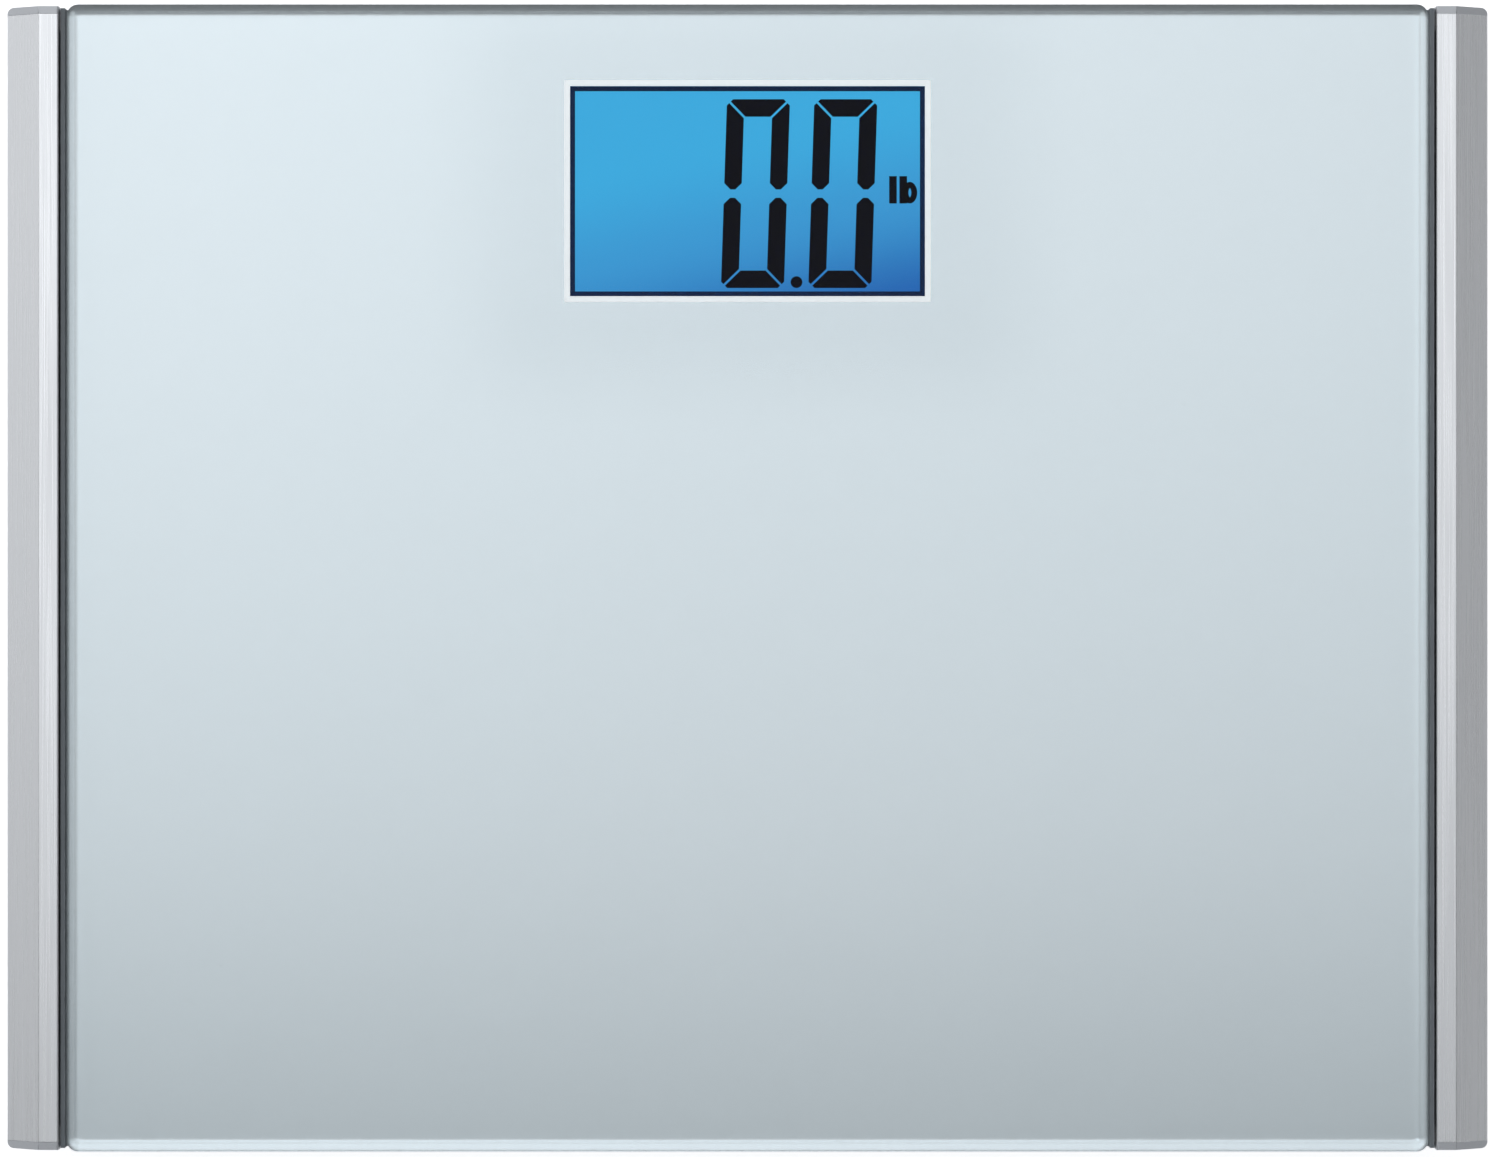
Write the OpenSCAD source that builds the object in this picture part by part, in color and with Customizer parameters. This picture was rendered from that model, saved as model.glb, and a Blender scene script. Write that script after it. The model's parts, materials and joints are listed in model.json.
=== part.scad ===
// Step-on digital weighing scale: a bevelled glass platform with a backlit display,
// between two extruded aluminium side rails, on a moulded base tray with four load cells.
// Millimetres. +Z is up and +Y points to the display edge.
// The origin is on the floor, under the centre of the platform.

/* [Platform] */
// Width of the glass, left to right
glass_w = 357.8; // [298:0.1:430]
// Depth of the glass, front to back
glass_d = 301.5; // [251:0.1:362]
// Thickness of the glass
glass_t = 6; // [5:0.5:10]
// Width of the ground bevel round the top edge of the glass
glass_bevel = 2.2; // [0.5:0.1:3]
// Corner radius of the glass, in plan
glass_corner_r = 3; // [3:0.5:20]
// Thickness of the silver film under the glass
film_t = 0.25; // [0.15:0.05:0.5]
// Thickness of the tape that bonds the glass to the tray
tape_t = 0.75; // [0.5:0.05:1.5]

/* [Side rails] */
// Width of a rail, in plan
rail_w = 14.2; // [12.5:0.1:20]
// Width of the flat on top of a rail
rail_flat_w = 5.3; // [3:0.1:6]
// Height that the sloping face of a rail falls
rail_drop = 6.5; // [3:0.5:8]
// Wall thickness of the extrusion
rail_wall = 1.6; // [1.2:0.1:2]
// Gap between the glass and a rail
side_gap = 1.9; // [1.6:0.1:3]
// How far a rail with its caps stops short of the glass edge, each end
rail_setback = 0.65; // [0.3:0.05:3]
// Thickness of an end cap's plate
cap_t = 2; // [1.5:0.1:4]

/* [Base tray] */
// Height of the tray's underside above the floor
ground_clearance = 5; // [4:0.5:8]
// Thickness of the tray's floor
tray_floor_t = 2.4; // [2:0.1:4]
// Thickness of the front and back walls
tray_wall = 2.4; // [1.8:0.1:4]
// How far the front and back walls stand in from the glass edge
tray_inset = 6; // [4:0.5:15]
// Thickness of a stiffening rib
rib_t = 1.8; // [1.2:0.1:3]

/* [Display] */
// Width of the window in the silver film
window_w = 93.4; // [78:0.1:112]
// Depth of the window in the silver film
window_d = 55.3; // [46:0.1:66]
// Distance from the back edge of the glass to the window
window_back = 21.3; // [16:0.1:40]
// Thickness of the liquid crystal panel
lcd_t = 2.2; // [1.8:0.1:3]
// Thickness of the backlight's light guide
guide_t = 3; // [2:0.1:4]
// Thickness of the circuit board
board_t = 1.6; // [1:0.1:2.4]

/* [Batteries] */
// Diameter of a battery cell
cell_d = 10.4; // [8.7:0.1:12.5]
// Length of a battery cell, with its terminal
cell_len = 44.5; // [37:0.1:54]
// Number of battery cells, side by side
cell_count = 4; // [2:1:4]

/* [Feet and load cells] */
// Distance from the glass edge to a foot's centre, left and right
foot_inset_x = 38; // [35:0.5:50]
// Distance from the glass edge to a foot's centre, front and back
foot_inset_y = 37; // [32:0.5:55]
// Radius of a foot
foot_r = 16.5; // [13.5:0.1:20]
// Side of the square load cell
load_cell_w = 34; // [28:0.2:41]
// Thickness of the load cell
load_cell_t = 3; // [2.5:0.1:4]
// Travel of a foot at full load
foot_travel = 0.6; // [0.3:0.1:1]

/* [Hidden] */
$fn = 64;
e = 0.01; // overcut of a through cut
fit = 0.4; // gap between pieces that slide together by hand
close = 0.2; // gap between pieces that are drawn together by a screw
run = 0.05; // radial gap of a pin that turns in its bore

CORNERS = ["front_left", "front_right", "back_left", "back_right"];
CORNER_SIGNS = [[-1, -1], [1, -1], [-1, 1], [1, 1]];
RAIL_SIDES = ["left", "right"];
CORNER_NODES = ["load_cell_frame", "load_cell_tongue", "strain_gauge", "foot", "foot_pad"];

// Display stack, counted down from the underside of the film
bezel_gap = 0.35; // film to bezel
bezel_lip_t = 0.4;
polariser_t = 0.2;
diffuser_t = 0.3;
reflector_t = 0.2;
lcd_margin = 4.5; // LCD beyond the window, each side
lcd_w = window_w + 2 * lcd_margin;
lcd_d = window_d + 2 * lcd_margin - 1;
bezel_wall = 2.8;
bezel_w = lcd_w + 2 * fit + 2 * bezel_wall;
bezel_d = lcd_d + 2 * fit + 2 * bezel_wall;
board_w = bezel_w + 15;
board_d = bezel_d + 5;
board_hole_r = 1.4;
board_screw_r = 0.95;
board_screw_head_r = 2.2;
board_room = 5.1; // components under the board

// Heights
door_gap = 0.4; // battery cells above the door
cell_headroom = 1.8; // over the battery cells
stack_below_rim = bezel_gap + bezel_lip_t + polariser_t + lcd_t + diffuser_t + guide_t
    + reflector_t + board_t - tape_t;
inner_h = max(door_gap + cell_d + cell_headroom, stack_below_rim + board_room);
z_floor = ground_clearance;
z_inside = z_floor + tray_floor_t;
z_rim = z_inside + inner_h;
z_film = z_rim + tape_t;
z_glass = z_film + film_t;
z_top = z_glass + glass_t;
z_bezel_top = z_film - bezel_gap;
z_polariser = z_bezel_top - bezel_lip_t - polariser_t;
z_lcd = z_polariser - lcd_t;
z_diffuser = z_lcd - diffuser_t;
z_guide = z_diffuser - guide_t;
z_reflector = z_guide - reflector_t;
z_board = z_reflector - board_t;

// Rails, in plan and in section
glass_half_w = glass_w / 2;
rail_in = glass_half_w + side_gap;
rail_out = rail_in + rail_w;
rail_end = glass_d / 2 - rail_setback; // outer face of an end cap
rail_len = 2 * (rail_end - cap_t);
rail_edge_r = 0.5;
rail_bottom = z_floor + 1.4;
rail_lip_in = 6.2; // start of the bottom lip, from the rail's inner face
leg_bottom = z_floor + 7;
cap_corner_r = 1.8;
cap_screw_x = rail_in + (rail_lip_in + rail_w) / 2;
cap_screw_y = rail_end - 8.5;
cap_screw_r = 1.2;
cap_screw_len = 10;
cap_screw_hole_r = 1.6;
pilot_gap = 0.05; // pilot hole over a screw's shank
plug_len = 12; // end cap's plug, along the rail

// Tray
tray_half_w = rail_in - fit;
tray_half_d = glass_d / 2 - tray_inset;
tray_chamfer = 3;
side_wall = 3.5;
ledge_t = 2.4;
ledge_side = 8;
ledge_end = 5;
upstand_t = side_gap - 2 * fit;
upstand_drop = 1.5; // top of the upstand, below the glass top
upstand_end = rail_end - fit; // it runs past the tray, so the gap is dark to its ends
ear_w = 5.4; // ears of the tray, under the corners of the glass
web_top = leg_bottom - 0.6;
web_out = rail_out - rail_wall - 0.3;
hook_in = rail_in + rail_wall + fit;
hook_t = 2.2;
hook_top = web_top + 6.6;
tray_in_w = tray_half_w - side_wall; // half width of the hollow
tray_in_d = tray_half_d - tray_wall; // half depth of the hollow

// Display and board, in plan
window_y = glass_d / 2 - window_back - window_d / 2;
board_y = window_y - 1;
boss_x = board_w / 2 - 4;
boss_y = board_d / 2 - 4;
boss_r = 3.2;
switch_w = 6;
switch_h = board_room - 1.6;
switch_x = -window_w * 0.375;
switch_y = window_y - window_d * 0.36;
switch_z = z_board - switch_h;
plunger_r = 1.7;
plunger_proud = 0.8;
button_r = 5;
button_travel = 0.5;
header_w = 8;
header_d = 5;
header_h = 3;
header_x = board_w / 2 - 16;
header_y = board_y - board_d * 0.28;

// Battery bay and door. The door turns on its front edge.
cell_pitch = cell_d + 1;
bay_wall = 1.6;
bay_half_w = cell_count * cell_pitch / 2 + 0.6;
contact_t = 0.4;
spring_len = 4.9;
spring_gap = 0.05; // spring to plate and to cell
bay_len = 2 * contact_t + cell_len + spring_len + 3 * spring_gap;
door_hinge_r = 2.2; // the rounded front edge of the door
door_t = 2;
hinge_pin_r = 1;
hinge_pin_len = 1.8;
bay_back = window_y - board_d / 2 - 1 - 9.2; // back of the bay's hollow
bay_front = bay_back - bay_len;
hinge_y = bay_front - 1.8;
hinge_z = z_floor + door_hinge_r;
door_back = bay_back + bay_wall + 4.2;
door_half_w = bay_half_w + 2.7;
latch_half_w = 6;
latch_t = 1.2;
latch_h = 5;
latch_y = door_back - 1.8;
latch_ridge = 0.1; // how far its ridge stands past the door's edge
finger_r = 8; // fingertip recess beside the latch
finger_depth = 1.2;
door_open_front = hinge_y - door_hinge_r - fit;
door_open_back = door_back + fit;
z_cells = z_inside + door_gap + cell_d / 2;
bay_top = z_cells + cell_d / 2 + 0.6;

// Rating label, on the underside
label_w = 62;
label_d = 34;
label_t = 0.15;
label_sink = 0.4;
label_x = 85;
label_y = -40;

// Feet and load cells
foot_x = glass_half_w - foot_inset_x;
foot_y = glass_d / 2 - foot_inset_y;
foot_base = 1.8; // underside of the plastic foot
foot_recess = 1; // round recess in the tray's underside
foot_disc_top = z_floor + foot_recess - foot_travel - 0.6;
foot_hub_r = 6.5;
foot_pin_r = 1.5;
pad_r = foot_r - 2.5;
pad_sink = 1; // rubber pad inside the foot
load_cell_gap = 2.2; // load cell above the tray's floor
z_load_cell = z_inside + load_cell_gap;
tongue_r = 8;
tongue_w = 10;
tongue_len = load_cell_w / 2 - 4;
clip_in = load_cell_w / 2 - 5.5; // inner edge of a clip, from the cell's centre
clip_out = load_cell_w / 2 + 9;
clip_screw_x = load_cell_w / 2 + 5.5;
clip_d = 20;
clip_t = 1.6;
clip_boss_r = 3.5;
clip_screw_r = 1.2;
clip_screw_len = 5.6;
screw_head_h = 1.6;
screw_head_r = 2.7;

// Stiffening groove, on the underside
groove_w = 2.4;
groove_depth = 0.8;
groove_corner_r = 10;
groove_span_x = 2 * (foot_x - foot_r - 6);
groove_span_y = 2 * (foot_y + foot_r);

// ---- Shared shapes ----

// Rectangle with round corners, centred on the origin
module rounded_rect(w, d, r) {
    square([w - 2 * r, d], center = true);
    square([w, d - 2 * r], center = true);
    for (x = [-1, 1], y = [-1, 1])
        translate([x * (w / 2 - r), y * (d / 2 - r)]) circle(r);
}

// Box from one corner to the opposite one
module box(low, high) {
    translate(low) cube(high - low);
}

// Copies to both sides of the YZ plane
module both_sides() {
    children();
    mirror([1, 0, 0]) children();
}

// Places a sub-part at foot i, turned so that its local +Y points to the middle of the scale
module at_corner(i) {
    s = CORNER_SIGNS[i];
    translate([s[0] * foot_x, s[1] * foot_y, 0]) rotate([0, 0, s[1] > 0 ? 180 : 0]) children();
}

// Pan head screw, head down at z = 0 and shank upwards, with a cross recess
module pan_screw(head_r, head_h, shank_r, shank_len) {
    difference() {
        union() {
            translate([0, 0, -head_h * 0.6]) cylinder(r = head_r, h = head_h * 0.6);
            translate([0, 0, -head_h]) cylinder(r1 = head_r * 0.7, r2 = head_r, h = head_h * 0.4);
            cylinder(r = shank_r, h = shank_len);
        }
        for (a = [0, 90])
            rotate([0, 0, a])
                box([-head_r * 0.55, -head_r * 0.12, -head_h - e],
                    [head_r * 0.55, head_r * 0.12, -head_h * 0.4]);
    }
}

// Unit vector along v
function unit(v) = v / norm(v);

// Ring of points round p, across direction t
function ring(p, t, r, sides) =
    let (a = unit(abs(t[2]) < 0.9 ? cross(t, [0, 0, 1]) : cross(t, [1, 0, 0])), b = cross(unit(t), a))
    [for (i = [0 : sides - 1]) p + r * (cos(i * 360 / sides) * a + sin(i * 360 / sides) * b)];

// Direction of a route at its point i
function heading(route, i) =
    unit(unit(route[min(i + 1, len(route) - 1)] - route[max(i - 1, 0)]));

// Round tube along a route
module tube(route, r, sides = 8) {
    n = len(route);
    points = [for (i = [0 : n - 1]) each ring(route[i], heading(route, i), r, sides)];
    walls = [for (i = [0 : n - 2], j = [0 : sides - 1])
        let (a = i * sides + j, b = i * sides + (j + 1) % sides)
        each [[a, b, b + sides], [a, b + sides, a + sides]]];
    ends = [
        [for (j = [sides - 1 : -1 : 0]) j],
        [for (j = [0 : sides - 1]) (n - 1) * sides + j]
    ];
    polyhedron(points, concat(walls, ends));
}

// ---- Platform ----

module glass_platform() {
    color([0.80, 0.88, 0.88, 0.5])
        translate([0, 0, z_glass])
            hull()
                for (x = [-1, 1], y = [-1, 1])
                    translate([x * (glass_half_w - glass_corner_r), y * (glass_d / 2 - glass_corner_r), 0]) {
                        cylinder(r = glass_corner_r, h = glass_t - glass_bevel, $fn = 32);
                        translate([0, 0, glass_t - glass_bevel])
                            cylinder(r1 = glass_corner_r, r2 = glass_corner_r - glass_bevel,
                                     h = glass_bevel, $fn = 32);
                    }
}

module silver_backing() {
    color([0.78, 0.81, 0.84])
        translate([0, 0, z_film])
            linear_extrude(film_t)
                difference() {
                    rounded_rect(glass_w - 2 * fit, glass_d - 2 * fit, glass_corner_r);
                    translate([0, window_y]) square([window_w, window_d], center = true);
                }
}

module platform_tape() {
    tape_w = ledge_end + tray_wall - 1;
    color([0.12, 0.12, 0.13])
        translate([0, 0, z_rim]) {
            for (y = [-1, 1])
                translate([-tray_in_w, y * (tray_half_d - 0.5 - tape_w / 2) - tape_w / 2, 0])
                    cube([2 * tray_in_w, tape_w, tape_t]);
            for (x = [-1, 1])
                translate([x * (tray_in_w - ledge_side / 2) - 3, 15 - tray_in_d, 0])
                    cube([6, 2 * tray_in_d - 30, tape_t]);
        }
}

// ---- Side rails ----

// Outline of the right rail: X outwards from its inner face, Y up from the floor
module rail_outline() {
    polygon([
        [0, rail_bottom], [0, z_top], [rail_flat_w, z_top],
        [rail_w, z_top - rail_drop], [rail_w, rail_bottom]
    ]);
}

module rail_outline_rounded() {
    offset(r = rail_edge_r, $fn = 24) offset(delta = -rail_edge_r) rail_outline();
}

module rail_section() {
    difference() {
        rail_outline_rounded();
        offset(delta = -rail_wall) rail_outline();
        translate([-1, rail_bottom - 1]) square([rail_lip_in + 1, leg_bottom - rail_bottom + 1]);
    }
}

module right_rail() {
    color([0.77, 0.78, 0.80])
        difference() {
            translate([rail_in, rail_len / 2, 0]) rotate([90, 0, 0]) linear_extrude(rail_len)
                rail_section();
            for (y = [-1, 1])
                translate([cap_screw_x, y * cap_screw_y, rail_bottom - 1])
                    cylinder(r = cap_screw_hole_r, h = rail_wall + 2);
        }
}

module left_rail() {
    mirror([1, 0, 0]) right_rail();
}

// Cap for the back end of the right rail
module end_cap() {
    plug_in = hook_in + hook_t + fit;
    plug_out = rail_out - rail_wall - close;
    plug_top = z_top - rail_drop - rail_wall;
    color([0.55, 0.56, 0.58])
        difference() {
            union() {
                intersection() {
                    translate([rail_in, rail_end, 0]) rotate([90, 0, 0]) linear_extrude(cap_t)
                        rail_outline_rounded();
                    linear_extrude(z_top + 1) {
                        box2d([rail_in, rail_end - cap_t - 1], [rail_out, rail_end - cap_corner_r]);
                        box2d([rail_in, rail_end - cap_t - 1], [rail_out - cap_corner_r, rail_end]);
                        translate([rail_out - cap_corner_r, rail_end - cap_corner_r]) circle(cap_corner_r);
                    }
                }
                box([plug_in, rail_end - cap_t - plug_len, web_top + close],
                    [plug_out, rail_end - cap_t, plug_top]);
            }
            translate([cap_screw_x, cap_screw_y, web_top])
                cylinder(r = cap_screw_r + pilot_gap, h = cap_screw_len - (web_top - rail_bottom) + 1);
        }
}

module box2d(low, high) {
    translate(low) square(high - low);
}

// The same cap serves all four rail ends
module end_cap_at(i) {
    s = CORNER_SIGNS[i];
    mirror([s[0] < 0 ? 1 : 0, 0, 0]) mirror([0, s[1] < 0 ? 1 : 0, 0]) end_cap();
}

module end_cap_screws() {
    color([0.62, 0.63, 0.65])
        for (s = CORNER_SIGNS)
            translate([s[0] * cap_screw_x, s[1] * cap_screw_y, rail_bottom])
                pan_screw(screw_head_r, screw_head_h, cap_screw_r, cap_screw_len);
}

// ---- Base tray ----

// Front to back outline of the tray: X is the scale's Y, Y is height
module tray_profile(top) {
    polygon([
        [-tray_half_d, top], [-tray_half_d, z_floor + tray_chamfer],
        [tray_chamfer - tray_half_d, z_floor], [tray_half_d - tray_chamfer, z_floor],
        [tray_half_d, z_floor + tray_chamfer], [tray_half_d, top]
    ]);
}

module along_x(half_len) {
    translate([-half_len, 0, 0]) rotate([90, 0, 90]) linear_extrude(2 * half_len) children();
}

module tray_shell() {
    difference() {
        along_x(tray_half_w) tray_profile(z_rim);
        box([-tray_in_w, -tray_in_d, z_inside], [tray_in_w, tray_in_d, z_rim - ledge_t]);
        box([ledge_side - tray_in_w, ledge_end - tray_in_d, z_inside],
            [tray_in_w - ledge_side, tray_in_d - ledge_end, z_rim + 1]);
    }
}

// The tray's edge inside a rail: the floor, the dark strip beside the glass, the web and the hook
module tray_side() {
    translate([tray_half_w - side_wall / 2, 0, 0])
        rotate([90, 0, 90])
            linear_extrude(rail_lip_in + side_wall / 2) tray_profile(web_top);
    box([glass_half_w + fit, -upstand_end, z_rim - 1],
        [glass_half_w + fit + upstand_t, upstand_end, z_top - upstand_drop]);
    box([tray_half_w - ear_w, -upstand_end, z_rim - ledge_t], [tray_half_w, upstand_end, z_rim]);
    box([tray_half_w - 1, -tray_half_d, rail_bottom + rail_wall + close], [web_out, tray_half_d, web_top]);
    box([hook_in, -tray_half_d, web_top - 1], [hook_in + hook_t, tray_half_d, hook_top]);
}

rib_step_x = 42;
rib_step_y = 42;
cable_way_h = 4.4; // mouse holes in the ribs

// Stiffening ribs, kept out of the corners, the battery bay and the display
module tray_ribs() {
    nx = floor((tray_in_w - 6) / rib_step_x);
    ny = floor((tray_in_d - 6) / rib_step_y);
    difference() {
        union() {
            for (i = [-nx : nx])
                box([i * rib_step_x - rib_t / 2, 1 - tray_in_d - 2, z_inside - 1],
                    [i * rib_step_x + rib_t / 2, tray_in_d + 1, z_rim]);
            for (j = [-ny : ny])
                box([-tray_in_w - 1, j * rib_step_y - rib_t / 2, z_inside - 1],
                    [tray_in_w + 1, j * rib_step_y + rib_t / 2, z_rim]);
        }
        for (s = CORNER_SIGNS)
            translate([s[0] * foot_x, s[1] * foot_y, z_inside])
                translate([-clip_out - 3, -load_cell_w / 2 - 4, 0])
                    cube([2 * clip_out + 6, load_cell_w + 8, inner_h + 1]);
        box([-board_w / 2 - 2, door_open_back + 0.5, z_inside], [board_w / 2 + 2, tray_in_d, z_rim + 1]);
        box([-door_half_w - 5, door_open_front - 2.5, z_floor - 1],
            [door_half_w + 5, door_open_back + 2.5, z_rim + 1]);
        for (route = cable_routes()) cable_way(route);
        mirror([1, 0, 0]) for (route = cable_routes()) cable_way(route);
    }
}

// Clear passage for one cable, at floor level
module cable_way(route) {
    for (i = [0 : len(route) - 2]) {
        low = [for (k = [0, 1]) min(route[i][k], route[i + 1][k]) - 3];
        high = [for (k = [0, 1]) max(route[i][k], route[i + 1][k]) + 3];
        box([low[0], low[1], z_inside], [high[0], high[1], z_inside + cable_way_h]);
    }
}

// Walls round the battery cells, on a flange over the edge of the door opening
module battery_bay() {
    flange_t = 1.4;
    out = bay_half_w + bay_wall;
    difference() {
        union() {
            box([-out, bay_front - bay_wall, z_inside], [out, bay_back + bay_wall, bay_top]);
            box([-door_half_w - 3, door_open_front - 2, z_inside],
                [door_half_w + 3, door_open_back + 2, z_inside + flange_t]);
            both_sides()
                box([door_half_w + fit, hinge_y - 3.4, z_inside - 1],
                    [door_half_w + 4.5, hinge_y + 3.4, z_inside + 3.2]);
        }
        box([-bay_half_w, bay_front, z_floor - 1], [bay_half_w, bay_back, bay_top + 1]);
        // room for the door's rounded front edge and for its latch
        box([-door_half_w - fit, door_open_front, z_floor - 1],
            [door_half_w + fit, hinge_y + door_hinge_r + fit, hinge_z + door_hinge_r + fit]);
        box([-latch_half_w - 1, door_back - 4, z_floor - 1],
            [latch_half_w + 1, door_open_back, bay_top + 1]);
        // lead to the circuit board
        both_sides()
            box([lead_x - 1.2, bay_back - 1, bay_top - 3],
                [lead_x + 1.2, bay_back + bay_wall + 1, bay_top + 1]);
    }
}

module tray_posts() {
    for (x = [-1, 1], y = [-1, 1])
        translate([x * boss_x, board_y + y * boss_y, z_inside - 1])
            cylinder(r = boss_r, h = z_board - z_inside + 1);
    for (i = [0 : 3])
        at_corner(i) {
            for (x = [-1, 1])
                translate([x * clip_screw_x, 0, z_inside - 1])
                    cylinder(r = clip_boss_r, h = load_cell_gap + load_cell_t + 1);
            for (x = [-1, 1], y = [-1, 1])
                translate([x * (load_cell_w / 2 - 3.5), y * (load_cell_w / 2 - 3.5), z_inside - 1])
                    cylinder(r = 2.5, h = load_cell_gap + 1);
        }
}

module tray_holes() {
    // shallow recesses: a groove round the underside, a fingertip's at the door's back edge, and the label's
    translate([0, 0, z_floor - 1])
        linear_extrude(1 + groove_depth)
            difference() {
                rounded_rect(groove_span_x, groove_span_y, groove_corner_r);
                rounded_rect(groove_span_x - 2 * groove_w, groove_span_y - 2 * groove_w,
                             groove_corner_r - groove_w);
            }
    translate([0, door_open_back, z_floor - 1]) cylinder(r = finger_r, h = 1 + finger_depth);
    translate([0, 0, z_floor - 1])
        linear_extrude(1 + label_sink)
            translate([label_x, label_y]) rounded_rect(label_w + 2 * close, label_d + 2 * close, 2);
    // battery door, with bores for its hinge pins
    box([-door_half_w - fit, door_open_front, z_floor - 1],
        [door_half_w + fit, door_open_back, z_inside + e]);
    translate([-door_half_w - hinge_pin_len - 0.6, hinge_y, hinge_z])
        rotate([0, 90, 0]) cylinder(r = hinge_pin_r + run, h = 2 * (door_half_w + hinge_pin_len + 0.6));
    // unit button
    translate([switch_x, switch_y, z_floor - 1]) cylinder(r = button_r + fit, h = tray_floor_t + 2);
    // feet
    for (i = [0 : 3])
        at_corner(i) {
            translate([0, 0, z_floor - 1]) cylinder(r = foot_hub_r + 2, h = tray_floor_t + 2);
            translate([0, 0, z_floor - 1]) cylinder(r = foot_r + 2, h = foot_recess + 1);
            for (x = [-1, 1])
                translate([x * clip_screw_x, 0, z_load_cell + load_cell_t + clip_t - clip_screw_len - 0.4])
                    cylinder(r = clip_screw_r + pilot_gap, h = clip_screw_len + 1);
        }
    // screws of the circuit board and of the end caps
    for (x = [-1, 1], y = [-1, 1])
        translate([x * boss_x, board_y + y * boss_y, z_board - board_room])
            cylinder(r = board_screw_r + pilot_gap, h = board_room + 1);
    for (s = CORNER_SIGNS)
        translate([s[0] * cap_screw_x, s[1] * cap_screw_y, rail_bottom])
            cylinder(r = cap_screw_hole_r, h = 8);
}

module rating_label() {
    color([0.75, 0.76, 0.77])
        translate([label_x, label_y, z_floor + label_sink - label_t])
            linear_extrude(label_t) rounded_rect(label_w, label_d, 2);
}

module base_tray() {
    color([0.16, 0.17, 0.18])
        difference() {
            union() {
                tray_shell();
                both_sides() tray_side();
                tray_ribs();
                battery_bay();
                tray_posts();
            }
            tray_holes();
        }
}

// ---- Feet and load cells, drawn round a foot's centre ----

// Loaded part of the load cell: a round seat on a neck
module tongue_outline(grow) {
    circle(tongue_r + grow);
    translate([-tongue_w / 2 - grow, 0]) square([tongue_w + 2 * grow, tongue_len + grow]);
}

module load_cell_frame() {
    color([0.70, 0.71, 0.72])
        translate([0, 0, z_load_cell])
            linear_extrude(load_cell_t)
                difference() {
                    rounded_rect(load_cell_w, load_cell_w, 4);
                    tongue_outline(fit);
                }
}

module load_cell_tongue() {
    color([0.72, 0.73, 0.74])
        translate([0, 0, z_load_cell])
            difference() {
                linear_extrude(load_cell_t) tongue_outline(0);
                translate([0, 0, -e]) cylinder(r = foot_pin_r + run, h = load_cell_t + 1);
            }
}

module strain_gauge() {
    color([0.90, 0.90, 0.88])
        translate([0, 0, z_load_cell + load_cell_t])
            linear_extrude(1.2) translate([0, tongue_len - 4]) rounded_rect(tongue_w - 2, 7, 1.5);
}

module foot() {
    groove_r = foot_r - 0.8;
    color([0.20, 0.21, 0.22])
        difference() {
            union() {
                translate([0, 0, foot_base]) cylinder(r1 = groove_r, r2 = foot_r, h = 0.8);
                translate([0, 0, foot_base + 0.8])
                    cylinder(r = foot_r, h = foot_disc_top - foot_base - 0.8);
                translate([0, 0, foot_disc_top]) cylinder(r = foot_hub_r, h = z_load_cell - foot_disc_top);
                translate([0, 0, z_load_cell]) cylinder(r = foot_pin_r, h = load_cell_t - 0.5);
            }
            translate([0, 0, foot_base - e]) cylinder(r = pad_r + run, h = pad_sink + e);
        }
}

module foot_pad() {
    color([0.08, 0.08, 0.09])
        difference() {
            union() {
                cylinder(r1 = pad_r - 0.6, r2 = pad_r, h = 0.6);
                translate([0, 0, 0.6]) cylinder(r = pad_r, h = foot_base + pad_sink - 0.6);
            }
            for (r = [pad_r * 0.45, pad_r * 0.7])
                translate([0, 0, -e])
                    rotate_extrude() translate([r - 0.6, 0]) square([1.2, 0.5 + e]);
        }
}

module cell_clips() {
    color([0.24, 0.25, 0.26])
        for (i = [0 : 3])
            at_corner(i)
                for (x = [-1, 1])
                    mirror([x < 0 ? 1 : 0, 0, 0])
                        translate([0, 0, z_load_cell + load_cell_t])
                            difference() {
                                box([clip_in, -clip_d / 2, 0], [clip_out, clip_d / 2, clip_t]);
                                translate([clip_screw_x, 0, -e])
                                    cylinder(r = cap_screw_hole_r, h = clip_t + 1);
                            }
}

module clip_screws() {
    color([0.62, 0.63, 0.65])
        for (i = [0 : 3])
            at_corner(i)
                for (x = [-1, 1])
                    translate([x * clip_screw_x, 0, z_load_cell + load_cell_t + clip_t])
                        mirror([0, 0, 1])
                            pan_screw(screw_head_r, screw_head_h, clip_screw_r, clip_screw_len);
}

// ---- Display ----

module lcd_panel() {
    color([0.35, 0.62, 0.85, 0.8])
        translate([-lcd_w / 2, window_y - lcd_d / 2, z_lcd]) cube([lcd_w, lcd_d, lcd_t]);
}

module lcd_polariser() {
    color([0.25, 0.60, 0.90, 0.8])
        translate([1.5 - lcd_w / 2, window_y - lcd_d / 2 + 1.5, z_polariser])
            cube([lcd_w - 3, lcd_d - 3, polariser_t]);
}

module lcd_bezel() {
    color([0.92, 0.92, 0.90])
        translate([0, window_y, 0])
            difference() {
                translate([0, 0, z_reflector])
                    linear_extrude(z_bezel_top - z_reflector) rounded_rect(bezel_w, bezel_d, 1.5);
                translate([0, 0, z_reflector - e])
                    linear_extrude(z_polariser + polariser_t - z_reflector + e)
                        square([lcd_w + 2 * fit, lcd_d + 2 * fit], center = true);
                linear_extrude(z_bezel_top + 1) square([lcd_w - 3, lcd_d - 3], center = true);
            }
}

module backlight_diffuser() {
    color([0.95, 0.97, 1.0])
        translate([-lcd_w / 2, window_y - lcd_d / 2, z_diffuser]) cube([lcd_w, lcd_d - 3.2, diffuser_t]);
}

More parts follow.
